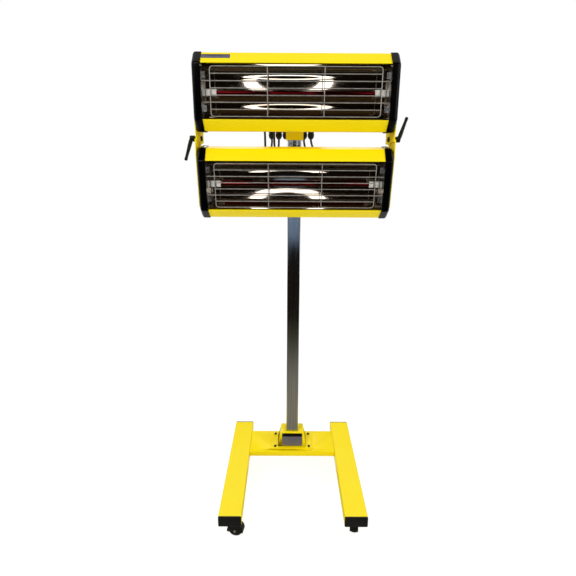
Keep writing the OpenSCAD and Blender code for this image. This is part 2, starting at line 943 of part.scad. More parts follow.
module head_shell(gland_xs, gland_z) {
    color(yellow)
        head_middle()
            difference() {
                union() {
                    along_x(shell_l)
                        difference() {
                            polygon(head_outline(0));
                            polygon(head_outline(-shell_t));
                            translate([-cut, shell_t - window_h / 2])
                                square([cut + 2 * shell_t, window_h - 2 * shell_t]);
                        }
                    for (side = [-1, 1])
                        translate([0, 0, side * (window_h - shell_t) / 2])
                            along_x(shell_l)
                                translate([0, -shell_t / 2])
                                    square([lip_d, shell_t]);
                }
                for (x = gland_xs)
                    translate([x, head_d - 2 * shell_t, gland_z - head_rise])
                        y_rod(head_shank_d + 2 * fit_gap, 3 * shell_t);
                for (i = [0:vent_n - 1])
                    translate([(i - (vent_n - 1) / 2) * vent_pitch, head_d - 2 * shell_t, 0])
                        translate([-vent_w / 2, 0, -vent_l / 2])
                            cube([vent_w, 3 * shell_t, vent_l]);
            }
}

module cap_body(grow, inset) {
    hull() {
        linear_extrude(cap_t - dome_h)
            polygon(head_outline(grow));
        linear_extrude(cap_t)
            polygon(head_outline(grow - inset));
    }
}

module head_cap(side, plate_x) {
    color(black)
        mirror([side < 0 ? 1 : 0, 0, 0])
            head_middle()
                translate([shell_l / 2, 0, 0])
                    rotate([90, 0, 90])
                        difference() {
                            union() {
                                cap_body(cap_proud, dome_in);
                                for (z = spacer_z)
                                    translate([spacer_in, z - head_rise, cap_t - cap_wall])
                                        cylinder(h = plate_x - cap_face + cap_wall, d = spacer_d);
                            }
                            translate([0, 0, -cut])
                                linear_extrude(cap_t - dome_h + cut)
                                    polygon(head_outline(-cap_wall));
                        }
}

module hinge_outline() {
    top = head_rise + window_h / 2;
    front = hinge_in - front_reach;
    back = head_d - front_reach;
    circle(hinge_r);
    polygon([[front, hinge_top], [front + hinge_edge, -hinge_edge], [0, -hinge_edge], [hinge_r, 0],
        [back, hinge_top + hinge_back], [back, top - hinge_edge], [back - hinge_edge, top],
        [front + hinge_edge, top], [front, top - hinge_edge]]);
}

module hinge_plates(inner) {
    color(yellow)
        for (side = [-1, 1])
            translate([side * (inner + hinge_t / 2), 0, 0])
                difference() {
                    along_x(hinge_t)
                        hinge_outline();
                    x_rod(stud_d + 2 * run_gap, hinge_t + 2 * cut);
                }
}

function trough(z) = lip_d + (trough_d - lip_d) * (1 - pow(z / trough_half, 2));

module head_reflector() {
    zs = [for (i = [0:trough_steps]) trough_half * (2 * i / trough_steps - 1)];
    inner = [for (z = zs) [trough(z), z]];
    outer = [for (i = [trough_steps:-1:0]) [trough(zs[i]) + mirror_t * 2, zs[i]]];
    end_x = shell_l / 2 + end_face;
    front = cap_wall + fit_gap;
    color("#c9c6bf")
        head_middle()
            union() {
                along_x(2 * end_x)
                    polygon(concat(inner, outer));
                for (side = [-1, 1])
                    difference() {
                        translate([side * (end_x - mirror_t / 2), 0, 0])
                            along_x(mirror_t)
                                polygon(concat([[front, -trough_half]], inner, [[front, trough_half]]));
                        translate([side * end_x, tube_in, 0])
                            x_rod(end_hole_d, 4 * mirror_t);
                    }
            }
}

module head_lamp_tube() {
    color("#7a1016")
        head_middle()
            translate([0, tube_in, 0])
                x_rod(tube_d, lamp_l - 2 * ceramic_l + 2 * ceramic_in);
}

module head_lamp_ceramics() {
    color("#d9d7d0")
        head_middle()
            for (side = [-1, 1])
                translate([side * (lamp_l - ceramic_l) / 2, tube_in, 0])
                    difference() {
                        rotate([90, 0, 90])
                            linear_extrude(ceramic_l, center = true)
                                rounded(ceramic_d, ceramic_h, tube_d / 4);
                        translate([-side * (ceramic_l / 2 - ceramic_in / 2), 0, 0])
                            x_rod(tube_d + 2 * plug_play, ceramic_in + 2 * plug_play);
                    }
}

module head_lamp_clips() {
    depth = trough_d - tube_in - ceramic_d / 2 - fit_gap;
    color("#a9abad")
        head_middle()
            for (side = [-1, 1])
                translate([side * (lamp_l / 2 - ceramic_l / 3), tube_in + ceramic_d / 2, 0])
                    rotate([90, 0, 90])
                        linear_extrude(clip_w, center = true)
                            union() {
                                translate([0, -ceramic_h / 2 - clip_t])
                                    square([clip_t, ceramic_h + 2 * clip_t]);
                                for (z = [-ceramic_h / 2 - clip_t, ceramic_h / 2])
                                    translate([-ceramic_d + clip_reach, z])
                                        square([ceramic_d - clip_reach + clip_t, clip_t]);
                                translate([0, -clip_t])
                                    square([depth, 2 * clip_t]);
                            }
}

module head_grille() {
    pitch = (grille_h - wire_d) / (grille_n - 1);
    reach = shell_l / 2 + end_face - mirror_t;
    color("#b4b6b8")
        head_middle()
            translate([0, wire_in, 0])
                union() {
                    for (i = [0:grille_n - 1])
                        translate([0, 0, pitch * (i - (grille_n - 1) / 2)])
                            x_rod(wire_d, i == hook_n || i == grille_n - 1 - hook_n ? 2 * reach : grille_w);
                    for (i = [0:post_n - 1])
                        translate([grille_w * (i / (post_n - 1) - 1 / 2), 0, -(grille_h - wire_d) / 2])
                            cylinder(h = grille_h - wire_d, d = wire_d);
                    for (x = [-1, 1])
                        for (z = [-1, 1])
                            translate([x * grille_w / 2, 0, z * (grille_h - wire_d) / 2])
                                sphere(d = wire_d);
                }
}

module head_glands(xs, z) {
    color(black)
        for (x = xs)
            translate([x, head_d - front_reach, z]) {
                y_rod(head_gland_d, head_gland_l / 2);
                translate([0, head_gland_l / 2, 0])
                    rotate([-90, 0, 0])
                        cylinder(h = head_gland_l / 2, d1 = head_gland_d - gland_taper, d2 = head_shank_d);
                translate([0, -shell_t - head_gland_l / 4, 0])
                    y_rod(head_shank_d, shell_t + head_gland_l / 2);
            }
}

leg_left();
leg_right();
crossbeam();
leg_end_plugs();
column_foot();
foot_bolts();
rating_plate();
column();
column_cap();
caster_stems();
caster_fork(0);  // caster_fork_front_left
caster_fork(1);  // caster_fork_front_right
caster_fork(2);  // caster_fork_rear_left
caster_fork(3);  // caster_fork_rear_right
caster_wheel(0);  // caster_wheel_front_left
caster_wheel(1);  // caster_wheel_front_right
caster_wheel(2);  // caster_wheel_rear_left
caster_wheel(3);  // caster_wheel_rear_right
caster_axle(0);  // caster_axle_front_left
caster_axle(1);  // caster_axle_front_right
caster_axle(2);  // caster_axle_rear_left
caster_axle(3);  // caster_axle_rear_right
carriage_sleeve();
glide_pads();
lock_knob();
head_yoke();
pivot_studs();
clamp_lever(-1);  // clamp_lever_left
clamp_lever(1);  // clamp_lever_right
control_box();
control_cover();
timer_unit();
timer_knob();
terminal_block();
rocker_switch();
box_glands();
upper_cable(0, upper_inner);  // upper_cable_inner
upper_cable(1, upper_outer);  // upper_cable_outer
lower_cable(0, lower_inner);  // lower_cable_inner
lower_cable(1, lower_outer);  // lower_cable_outer
upper() head_shell(upper_gland_x, upper_gland_z);  // upper_shell
upper() head_cap(-1, upper_plate_x);  // upper_cap_left
upper() head_cap(1, upper_plate_x);  // upper_cap_right
upper() hinge_plates(upper_plate_x);  // upper_hinge_plates
upper() head_reflector();  // upper_reflector
upper() head_lamp_tube();  // upper_lamp_tube
upper() head_lamp_ceramics();  // upper_lamp_ceramics
upper() head_lamp_clips();  // upper_lamp_clips
upper() head_grille();  // upper_grille
upper() head_glands(upper_gland_x, upper_gland_z);  // upper_glands
lower() head_shell(lower_gland_x, lower_gland_z);  // lower_shell
lower() head_cap(-1, lower_plate_x);  // lower_cap_left
lower() head_cap(1, lower_plate_x);  // lower_cap_right
lower() hinge_plates(lower_plate_x);  // lower_hinge_plates
lower() head_reflector();  // lower_reflector
lower() head_lamp_tube();  // lower_lamp_tube
lower() head_lamp_ceramics();  // lower_lamp_ceramics
lower() head_lamp_clips();  // lower_lamp_clips
lower() head_grille();  // lower_grille
lower() head_glands(lower_gland_x, lower_gland_z);  // lower_glands
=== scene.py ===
import bmesh
import bpy
import json
import math
from mathutils import Matrix, Vector

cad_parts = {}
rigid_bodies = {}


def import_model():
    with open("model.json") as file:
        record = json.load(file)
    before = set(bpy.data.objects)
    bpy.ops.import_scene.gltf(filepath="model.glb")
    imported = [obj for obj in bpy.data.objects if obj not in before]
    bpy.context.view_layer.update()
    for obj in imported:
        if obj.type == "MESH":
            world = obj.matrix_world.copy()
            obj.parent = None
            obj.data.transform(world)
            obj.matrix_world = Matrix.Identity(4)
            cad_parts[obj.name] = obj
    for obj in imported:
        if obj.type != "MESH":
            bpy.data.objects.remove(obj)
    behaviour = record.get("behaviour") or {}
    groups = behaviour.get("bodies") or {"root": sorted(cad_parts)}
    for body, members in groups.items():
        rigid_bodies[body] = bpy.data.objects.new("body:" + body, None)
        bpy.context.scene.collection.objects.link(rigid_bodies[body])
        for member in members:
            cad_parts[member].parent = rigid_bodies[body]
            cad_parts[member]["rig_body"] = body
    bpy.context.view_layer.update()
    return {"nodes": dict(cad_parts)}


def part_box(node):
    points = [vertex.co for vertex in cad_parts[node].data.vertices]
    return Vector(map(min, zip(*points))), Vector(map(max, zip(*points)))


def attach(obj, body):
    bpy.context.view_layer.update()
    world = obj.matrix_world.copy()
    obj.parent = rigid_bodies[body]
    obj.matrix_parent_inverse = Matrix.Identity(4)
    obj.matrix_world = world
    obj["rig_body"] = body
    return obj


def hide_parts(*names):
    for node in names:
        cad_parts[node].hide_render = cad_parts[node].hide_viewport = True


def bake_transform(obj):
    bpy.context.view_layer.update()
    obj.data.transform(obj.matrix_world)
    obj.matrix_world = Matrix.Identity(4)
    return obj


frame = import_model()
print("frame loaded")

# Infrared curing lamp with two tilting heads. Metres, +Z up, the heads face -Y.

mm = 0.001
wheelNames = ["front_left", "front_right", "rear_left", "rear_right"]
sideNames = {-1: "left", 1: "right"}
quarter = math.pi / 2
toMetres = Matrix.Scale(mm, 4)
tip = 0.01  # millimetres that keep a shape open at its axis or at its end


# Small helpers

def circle(count):
    # the angles of count points round a circle
    return [2 * math.pi * k / count for k in range(count)]


def rectangle(w, h):
    return [(-w, -h), (w, -h), (w, h), (-w, h)]


def linear(hexColour):
    parts = [int(hexColour[i:i + 2], 16) / 255 for i in (1, 3, 5)]
    return tuple(c / 12.92 if c <= 0.04045 else ((c + 0.055) / 1.055) ** 2.4 for c in parts) + (1,)


def addNode(tree, kind, inputs=None, **settings):
    # inputs holds plain values or sockets of other nodes, by name or index
    node = tree.nodes.new(kind)
    for name, value in settings.items():
        setattr(node, name, value)
    for name, value in (inputs or {}).items():
        if isinstance(value, bpy.types.NodeSocket):
            tree.links.new(value, node.inputs[name])
        else:
            node.inputs[name].default_value = value
    return node


# Camera: solved from the straight edges of the base, the column and the heads

cameraValues = {"place": (-24.1, -1600.8, 1295.8), "pitch": 15.836, "yaw": -0.108, "roll": -0.310,
                "lens": 28.729, "sensor": 36}


def buildCamera(values):
    pitch, yaw, roll = (math.radians(values[k]) for k in ("pitch", "yaw", "roll"))
    turn = Matrix.Rotation(yaw, 3, "Z")
    side = turn @ Vector((1, 0, 0))
    forward = turn @ Vector((0, math.cos(pitch), -math.sin(pitch)))
    rise = turn @ Vector((0, math.sin(pitch), math.cos(pitch)))
    right = math.cos(roll) * side - math.sin(roll) * rise
    up = math.sin(roll) * side + math.cos(roll) * rise
    data = bpy.data.cameras.new("camera")
    data.lens = values["lens"]
    data.sensor_width = values["sensor"]
    data.clip_start = 0.01
    camera = bpy.data.objects.new("camera", data)
    bpy.context.scene.collection.objects.link(camera)
    camera.matrix_world = (Matrix.Translation(Vector(values["place"]) * mm)
                           @ Matrix((right, up, -forward)).transposed().to_4x4())
    bpy.context.scene.camera = camera


buildCamera(cameraValues)
print("camera placed")


# Materials

def newMaterial(name, base, roughness, metallic=0.0, **more):
    # gives the material with its tree, its shader and a socket of object coordinates in metres
    material = bpy.data.materials.new(name)
    material.use_nodes = True
    tree = material.node_tree
    tree.nodes.clear()
    shader = addNode(tree, "ShaderNodeBsdfPrincipled", {
        "Base Color": linear(base), "Roughness": roughness, "Metallic": metallic, **more})
    addNode(tree, "ShaderNodeOutputMaterial", {"Surface": shader.outputs[0]})
    where = addNode(tree, "ShaderNodeTexCoord").outputs["Object"]
    return material, tree, shader, where


def grain(tree, where, size, detail=2.0, stretch=(1, 1, 1), **more):
    # noise whose features are about size millimetres, longer along a stretched axis
    placed = addNode(tree, "ShaderNodeMapping", {"Vector": where, "Scale": tuple(1 / s for s in stretch)})
    return addNode(tree, "ShaderNodeTexNoise", {
        "Vector": placed.outputs[0], "Scale": 1 / (size * mm), "Detail": detail, **more}).outputs["Fac"]


def spread(tree, factor, low, high, fromLow=0.3, fromHigh=0.7):
    return addNode(tree, "ShaderNodeMapRange", {
        "Value": factor, "From Min": fromLow, "From Max": fromHigh, "To Min": low, "To Max": high}).outputs[0]


def tint(tree, factor, first, second):
    return addNode(tree, "ShaderNodeMix", {0: factor, 6: first, 7: second}, data_type="RGBA").outputs[2]


def relief(tree, shader, height, depth, strength=1.0):
    # depth is the real height of the pattern in millimetres
    bump = addNode(tree, "ShaderNodeBump", {"Height": height, "Distance": depth * mm, "Strength": strength})
    tree.links.new(bump.outputs[0], shader.inputs["Normal"])


def surface(name, base, roughness, metallic=0.0, layers=(), sheen=None, bump=None, **more):
    # layers are (first colour, second, grain, range), each over the last, where None is what lies below;
    # sheen is (grain, lowest and highest roughness), bump is (grain, millimetres, strength)
    material, tree, shader, where = newMaterial(name, base, roughness, metallic, **more)
    below = linear(base)
    for first, second, pattern, limits in layers:
        factor = grain(tree, where, *pattern)
        if limits:
            factor = spread(tree, factor, *limits)
        first, second = (linear(c) if isinstance(c, str) else c or below for c in (first, second))
        below = tint(tree, factor, first, second)
    if layers:
        tree.links.new(below, shader.inputs["Base Color"])
    if sheen:
        tree.links.new(spread(tree, grain(tree, where, *sheen[0]), *sheen[1:]), shader.inputs["Roughness"])
    if bump:
        relief(tree, shader, grain(tree, where, *bump[0]), *bump[1:])
    return material


def mouldedPlastic(name, base, roughness, grit, depth, **more):
    # Injection moulded plastic: even colour with faint flow clouds and an eroded tool texture
    darker = tuple(c * 0.72 for c in linear(base)[:3]) + (1,)
    return surface(name, base, roughness, 0.0, [(darker, base, (60, 3), None)],
                   ((18, 3), roughness * 0.85, roughness * 1.2), ((grit, 2), depth, 0.6),
                   **{"IOR": 1.5, **more})


def metal(name, base, roughness, size, stretch, depth, second, metallic=1.0):
    # Plain metal with fine marks that run along the stretched axis
    marks = (size, 4, stretch)
    return surface(name, base, roughness, metallic, [(base, second, marks, (0, 1))],
                   (marks, roughness * 0.8, roughness * 1.35), (marks, depth, 0.5))


def plainPlate():
    # Anodised aluminium plate with a black band on top
    material, tree, shader, where = newMaterial("plainPlate", "#8a8592", 0.38, 0.7)
    brushed = grain(tree, where, 0.8, 3, (40, 1, 1))
    silver = tint(tree, brushed, linear("#77737f"), linear("#9a96a2"))
    low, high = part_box("rating_plate")
    edge = low.z + 0.74 * (high.z - low.z)
    height = addNode(tree, "ShaderNodeSeparateXYZ", {0: where}).outputs[2]
    band = spread(tree, height, 0, 1, edge, edge + 0.3 * mm)
    tree.links.new(tint(tree, band, silver, linear("#17171a")), shader.inputs["Base Color"])
    relief(tree, shader, brushed, 0.02, 0.5)
    return material


paints = {
    # Polyester powder coat baked on sheet steel: strong yellow, satin skin with a fine orange peel
    "yellow_enamel": surface(
        "yellowEnamel", "#ffe400", 0.4, 0.0,
        [("#ffe000", "#ffe900", (90, 3), None), (None, "#b89a10", (2.6, 2), (0, 0.1, 0.66, 0.78))],
        ((35, 3), 0.34, 0.48), ((2.2, 1), 0.04, 0.4),
        **{"Specular IOR Level": 0.16, "Coat Weight": 0.04, "IOR": 1.5}),
    # The same coat in dark grey with a satin, slightly sandy skin
    "grey_enamel": surface("greyEnamel", "#2d2f33", 0.45, 0.0, (), ((40, 3), 0.38, 0.52),
                           ((0.9, 1), 0.06, 0.5), IOR=1.5),
    "black_plastic": mouldedPlastic("blackNylon", "#0c0d10", 0.4, 0.8, 0.05,
                                    **{"Specular IOR Level": 0.3}),
    "cap_plastic": mouldedPlastic("glossyCapPlastic", "#030304", 0.16, 4.0, 0.02,
                                  **{"Specular IOR Level": 0.12}),
    # Hard nylon and polyurethane: dull black, scuffed and dusty on the tread
    "wheel_plastic": surface("wheelPlastic", "#141416", 0.5, 0.0,
                             [("#101012", "#3c3a37", (6, 4), (0, 0.6, 0.5, 0.75))], None,
                             ((1.2, 3), 0.08, 0.6)),
    "pad_plastic": mouldedPlastic("acetalPads", "#2c2d30", 0.42, 0.9, 0.04),
    "pale_plastic": mouldedPlastic("paleTimerPlastic", "#c9c8c0", 0.45, 0.9, 0.04),
    "red_plastic": mouldedPlastic("redRockerPlastic", "#b3201a", 0.24, 1.2, 0.02),
    "blackened_steel": metal("blackenedSteel", "#2c2c2f", 0.38, 1.4, (1, 1, 1), 0.04, "#45454a"),
    "zinc_steel": metal("zincPlatedSteel", "#a9abad", 0.34, 3.0, (1, 1, 1), 0.03, "#c3c4c2"),
    "bright_wire": metal("brightWire", "#8f8a84", 0.3, 1.5, (12, 1, 12), 0.02, "#a9a49d", 0.35),
    # Mirror bright plating with long polishing streaks and faint ripples
    "chrome": surface("columnChrome", "#c4c6c9", 0.09, 1.0,
                      [("#b2b4b8", "#d2d3d4", (4, 3, (1, 1, 60)), (0, 1))],
                      ((4, 3, (1, 1, 60)), 0.06, 0.15), ((45, 2, (1, 1, 8)), 0.12, 0.3)),
    "plate_metal": plainPlate(),
    # Bright rolled aluminium: the warm brown base and the large brown patches are a painted reflection tone,
    # and the long streaks along the head are rolling marks and partly painted reflection bands
    "reflector_metal": surface("reflectorSheet", "#a4988a", 0.07, 1.0,
                               [("#a09384", "#c2b8ac", (16, 4, (80, 1, 1)), (0, 1, 0.4, 0.6)),
                                (None, "#857360", (80, 3, (3, 1, 1)), (0, 0.5, 0.5, 0.7))],
                               ((16, 4, (80, 1, 1)), 0.035, 0.06)),
    # Quartz with a ruby filter coat: nearly black, but every light it mirrors comes back deep red
    "lamp_glass": surface("rubyQuartz", "#6a0a10", 0.06, 1.0,
                          [("#45060a", "#8a0f18", (9, 2, (8, 1, 1)), None)]),
    # Unglazed steatite: chalky white, a little pitted
    "white_ceramic": surface("ceramic", "#dedbd2", 0.7, 0.0, [("#cbc7bb", "#ebe8e0", (7, 3), None)], None,
                             ((0.8, 2), 0.08, 0.7)),
    # Matt black rubber with a fine talc bloom
    "cable_rubber": surface("cableRubber", "#0c0c0d", 0.55, 0.0,
                            [("#0a0a0b", "#232326", (5, 3), (0, 0.5))], None, ((0.7, 2), 0.04, 0.6)),
}
extraPaints = {
    "endPlate": metal("satinEndPlate", "#7d7872", 0.34, 9, (1, 1, 1), 0.1, "#b1aca6"),
    "labelPlate": metal("labelPlate", "#5f5f78", 0.4, 0.9, (30, 1, 1), 0.02, "#6d6c84"),
}
printWhite = mouldedPlastic("printWhite", "#e6e6e2", 0.5, 0.5, 0.01)
print("materials made")


# Pieces

def link(name, mesh):
    piece = bpy.data.objects.new(name, mesh)
    bpy.context.scene.collection.objects.link(piece)
    return piece


def settle(piece, sharpAngle=35):
    # turns the piece with its modifiers into a plain mesh, smooth but for its sharp edges
    bpy.context.view_layer.update()
    graph = bpy.context.evaluated_depsgraph_get()
    mesh = bpy.data.meshes.new_from_object(piece.evaluated_get(graph), depsgraph=graph)
    piece.modifiers.clear()
    old = piece.data
    piece.data = mesh
    if old.users == 0:
        bpy.data.meshes.remove(old)
    if sharpAngle:
        mesh.shade_smooth()
        mesh.set_sharp_from_angle(angle=math.radians(sharpAngle))


def bevelled(piece, width, angle=28, unit=mm):
    # rounds the sharp edges of a piece; unit is the length of a millimetre in its mesh
    bevel = piece.modifiers.new("edges", "BEVEL")
    bevel.width = width * unit
    bevel.segments = 2
    bevel.limit_method = "ANGLE"
    bevel.angle_limit = math.radians(angle)
    bevel.use_clamp_overlap = False
    bevel.harden_normals = True
    piece.data.shade_smooth()
    settle(piece, None)


def coat(mesh, paint):
    mesh.materials.clear()
    mesh.materials.append(paint)
    for face in mesh.polygons:
        face.material_index = 0


def dress(piece, body, slot, nodes=(), paint=None):
    # the piece gets the finish of its slot and its body, and the CAD nodes that it stands for are hidden
    coat(piece.data, paint or paints[slot])
    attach(piece, body)
    if nodes:
        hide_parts(*nodes)
    return piece


def linkMesh(name, bm):
    mesh = bpy.data.meshes.new(name)
    bm.to_mesh(mesh)
    bm.free()
    return link(name, mesh)


def fromMesh(name, bm, place=None):
    # a piece from a bmesh, turned into its place, with its faces pointing outwards
    if place is not None:
        bmesh.ops.transform(bm, matrix=place, verts=bm.verts)
    bmesh.ops.recalc_face_normals(bm, faces=bm.faces)
    return linkMesh(name, bm)


def strip(bm, rings, closeEnds=True):
    # joins equal rings of points with quads
    rows = [[bm.verts.new(p) for p in ring] for ring in rings]
    count = len(rows[0])
    for low, high in zip(rows, rows[1:]):
        for k in range(count):
            n = (k + 1) % count
            bm.faces.new((low[k], low[n], high[n], high[k]))
    if closeEnds:
        bm.faces.new(list(reversed(rows[0])))
        bm.faces.new(rows[-1])


def roundCorners(points, radius, steps=4):
    # rounds each corner of a closed outline of (y, z) points, but takes at most cut of each side;
    # radius is one value or one for each corner
    cut = 0.48
    out = []
    count = len(points)
    for i, point in enumerate(points):
        here = Vector(point)
        back = Vector(points[i - 1]) - here
        ahead = Vector(points[(i + 1) % count]) - here
        r = radius[i] if isinstance(radius, (list, tuple)) else radius
        half = back.angle(ahead) / 2
        reach = min(r / math.tan(half), cut * back.length, cut * ahead.length)
        start, end = here + back.normalized() * reach, here + ahead.normalized() * reach
        for k in range(steps + 1):
            t = k / steps
            out.append(start * (1 - t) ** 2 + here * 2 * t * (1 - t) + end * t * t)
    return out


def lathe(bm, profile, centre, axis, turns=48):
    # spins (radius, height) points about an axis through centre; millimetres
    axis = Vector(axis).normalized()
    side = axis.orthogonal().normalized()
    other = axis.cross(side)
    rings = []
    for radius, height in profile:
        rings.append([Vector(centre) + axis * height
                      + (side * math.cos(a) + other * math.sin(a)) * max(radius, tip)
                      for a in circle(turns)])
    strip(bm, rings)


# CAD nodes that keep their shape get their finish here

def bodyOf(node):
    return frame["nodes"][node]["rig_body"]


# The first word that is part of a node's name gives its slot
slotWords = {"cable_rubber": ["cable"], "reflector_metal": ["reflector"], "lamp_glass": ["lamp_tube"],
             "white_ceramic": ["ceramics"], "bright_wire": ["grille"], "cap_plastic": ["_cap_"],
             "wheel_plastic": ["caster_wheel"], "zinc_steel": ["clips", "caster_axle", "stems"],
             "black_plastic": ["fork", "plugs", "lever", "knob", "gland", "column_cap"],
             "yellow_enamel": ["column_foot"], "chrome": ["column"], "pad_plastic": ["pads"],
             "blackened_steel": ["studs", "bolts"], "plate_metal": ["rating"], "grey_enamel": ["cover"],
             "pale_plastic": ["timer", "terminal"], "red_plastic": ["rocker"]}


def slotFor(node):
    for slot, words in slotWords.items():
        if any(word in node for word in words):
            return slot
    return "yellow_enamel"


for name, node in frame["nodes"].items():
    coat(node.data, paints[slotFor(name)])
print("nodes painted")


# Cords: the same routes as the solids, in millimetres

cableValues = {"diameter": 7.5, "sides": 16, "steps": 6, "heldShare": 8, "pathEvery": 3}
cableRoutes = {
    "upper_cable_inner": ("upper_head", (-58, 213, 1362), (-72, 36.8, 1408.3), [
        (-58, 213, 1350), (-59, 211, 1334), (-61, 206, 1318), (-63, 197, 1304), (-65, 184, 1294),
        (-66, 169, 1289), (-67, 153, 1289), (-68, 138, 1294), (-69, 125, 1303), (-70, 115, 1316),
        (-71, 108, 1331), (-72, 102, 1347), (-72, 95, 1363), (-72, 86, 1378), (-72, 75, 1391),
        (-72, 62, 1402), (-72, 50, 1408)]),
    "upper_cable_outer": ("upper_head", (-84, 213, 1362), (-104, 36.8, 1408.3), [
        (-84, 213, 1350), (-86, 210, 1332), (-89, 203, 1314), (-92, 192, 1299), (-95, 177, 1288),
        (-98, 160, 1283), (-100, 143, 1284), (-102, 128, 1291), (-103, 116, 1303), (-104, 107, 1318),
        (-104, 101, 1335), (-104, 95, 1352), (-104, 88, 1368), (-104, 78, 1383), (-104, 66, 1396),
        (-104, 51, 1407)]),
    "lower_cable_inner": ("lower_head", (36, 213, 1362), (112, 47.0, 1298.5), [
        (37, 213, 1350), (40, 211, 1336), (46, 207, 1322), (54, 200, 1311), (63, 191, 1302),
        (73, 179, 1296), (83, 165, 1292), (92, 150, 1290), (100, 134, 1290), (106, 118, 1292),
        (110, 101, 1296), (112, 84, 1300), (112, 66, 1301)]),
    "lower_cable_outer": ("lower_head", (62, 213, 1362), (146, 47.0, 1298.5), [
        (64, 213, 1350), (69, 211, 1335), (77, 207, 1321), (87, 200, 1310), (98, 190, 1300),
        (109, 178, 1293), (120, 164, 1288), (130, 148, 1286), (138, 132, 1286), (143, 116, 1289),
        (146, 99, 1294), (146, 82, 1299), (146, 65, 1301)]),
}


def smoothPath(points, steps):
    # Catmull-Rom curve through the points
    points = [Vector(p) for p in points]
    padded = [2 * points[0] - points[1]] + points + [2 * points[-1] - points[-2]]
    out = []
    for a, b, c, d in zip(padded, padded[1:], padded[2:], padded[3:]):
        for k in range(steps):
            t = k / steps
            out.append(0.5 * (2 * b + (c - a) * t + (2 * a - 5 * b + 4 * c - d) * t ** 2
                              + (3 * b - a - 3 * c + d) * t ** 3))
    return out + [points[-1]]


def sweep(bm, path, radius, sides):
    # round tube along a path
    heading = [(b - a).normalized() for a, b in zip([path[0]] + path[:-1], path[1:] + [path[-1]])]
    side = heading[0].orthogonal().normalized()
    rings = []
    for point, ahead in zip(path, heading):
        side = (side - ahead * side.dot(ahead)).normalized()
        other = ahead.cross(side)
        rings.append([point + (side * math.cos(a) + other * math.sin(a)) * radius for a in circle(sides)])
    strip(bm, rings)


def buildCables(values):
    for name, (head, start, end, middle) in cableRoutes.items():
        path = smoothPath([start] + middle + [end], values["steps"])
        bm = bmesh.new()
        sweep(bm, path, values["diameter"] / 2, values["sides"])
        piece = fromMesh(name.replace("cable", "lead"), bm, toMetres)
        settle(piece, 60)
        piece.data.materials.append(paints["cable_rubber"])
        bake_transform(piece)
        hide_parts(name)


buildCables(cableValues)


# Geometry Nodes

def newTree(name, **wanted):
    # a tree whose inputs are given by name and kind of socket
    tree = bpy.data.node_groups.new(name, "GeometryNodeTree")
    tree.interface.new_socket("Geometry", in_out="INPUT", socket_type="NodeSocketGeometry")
    for label, kind in wanted.items():
        tree.interface.new_socket(label, in_out="INPUT", socket_type="NodeSocket" + kind)
    tree.interface.new_socket("Geometry", in_out="OUTPUT", socket_type="NodeSocketGeometry")
    return tree, addNode(tree, "NodeGroupInput").outputs


def endTree(tree, geometry, given):
    # every tree ends in Realize Instances and Set Material
    solid = addNode(tree, "GeometryNodeRealizeInstances", {0: geometry})
    painted = addNode(tree, "GeometryNodeSetMaterial", {"Geometry": solid.outputs[0],
                                                        "Material": given["Material"]})
    addNode(tree, "NodeGroupOutput", {0: painted.outputs[0]})


def grow(piece, tree, values, sharpAngle=35):
    # runs a tree on a piece with its inputs set by their identifiers, then keeps the plain mesh
    modifier = piece.modifiers.new("grow", "NODES")
    modifier.node_group = tree
    for item in tree.interface.items_tree:
        if item.in_out == "INPUT" and item.name in values:
            modifier[item.identifier] = values[item.name]
    piece.update_tag()
    settle(piece, sharpAngle)


def wireTree():
    # thickens the edges of a wire drawing into round wires
    tree, given = newTree("roundWires", Wire="Float", Sides="Int", Material="Material")
    radius = addNode(tree, "ShaderNodeMath", {0: given["Wire"], 1: 0.5}, operation="MULTIPLY")
    curve = addNode(tree, "GeometryNodeMeshToCurve", {0: given["Geometry"]})
    profile = addNode(tree, "GeometryNodeCurvePrimitiveCircle", {"Resolution": given["Sides"],
                                                                 "Radius": radius.outputs[0]})
    tube = addNode(tree, "GeometryNodeCurveToMesh", {0: curve.outputs[0], 1: profile.outputs[0],
                                                     "Fill Caps": True})
    endTree(tree, tube.outputs[0], given)
    return tree


def scatterTree():
    # puts a copy of one piece on every point, turned to the point's own attribute
    tree, given = newTree("copiesOnPoints", Piece="Object", Material="Material")
    piece = addNode(tree, "GeometryNodeObjectInfo", {"Object": given["Piece"]})
    turn = addNode(tree, "GeometryNodeInputNamedAttribute", {"Name": "turn"}, data_type="FLOAT_VECTOR")
    angle = addNode(tree, "FunctionNodeEulerToRotation", {0: turn.outputs[0]})
    copies = addNode(tree, "GeometryNodeInstanceOnPoints", {
        "Points": given["Geometry"], "Instance": piece.outputs["Geometry"], "Rotation": angle.outputs[0]})
    endTree(tree, copies.outputs[0], given)
    return tree


def slotTree():
    # cuts a row of slots: copies of a cutter stand in a line and are taken out of the sheet
    tree, given = newTree("slotRow", Cutter="Object", Count="Int", Start="Vector", Step="Vector",
                          Material="Material")
    cutter = addNode(tree, "GeometryNodeObjectInfo", {"Object": given["Cutter"]})
    row = addNode(tree, "GeometryNodeMeshLine", {
        "Count": given["Count"], "Start Location": given["Start"], "Offset": given["Step"]})
    copies = addNode(tree, "GeometryNodeInstanceOnPoints", {
        "Points": row.outputs[0], "Instance": cutter.outputs["Geometry"]})
    solid = addNode(tree, "GeometryNodeRealizeInstances", {0: copies.outputs[0]})
    cutAway = addNode(tree, "GeometryNodeMeshBoolean", {0: given["Geometry"], 1: solid.outputs[0]},
                      operation="DIFFERENCE", solver="EXACT")
    endTree(tree, cutAway.outputs[0], given)
    return tree


roundWires = wireTree()
copiesOnPoints = scatterTree()
slotRow = slotTree()


def drawWires(name, lines):
    # a mesh of edges only, from lists of points in millimetres
    bm = bmesh.new()
    for line in lines:
        points = [bm.verts.new(Vector(p) * mm) for p in line]
        for a, b in zip(points, points[1:]):
            bm.edges.new((a, b))
    return linkMesh(name, bm)


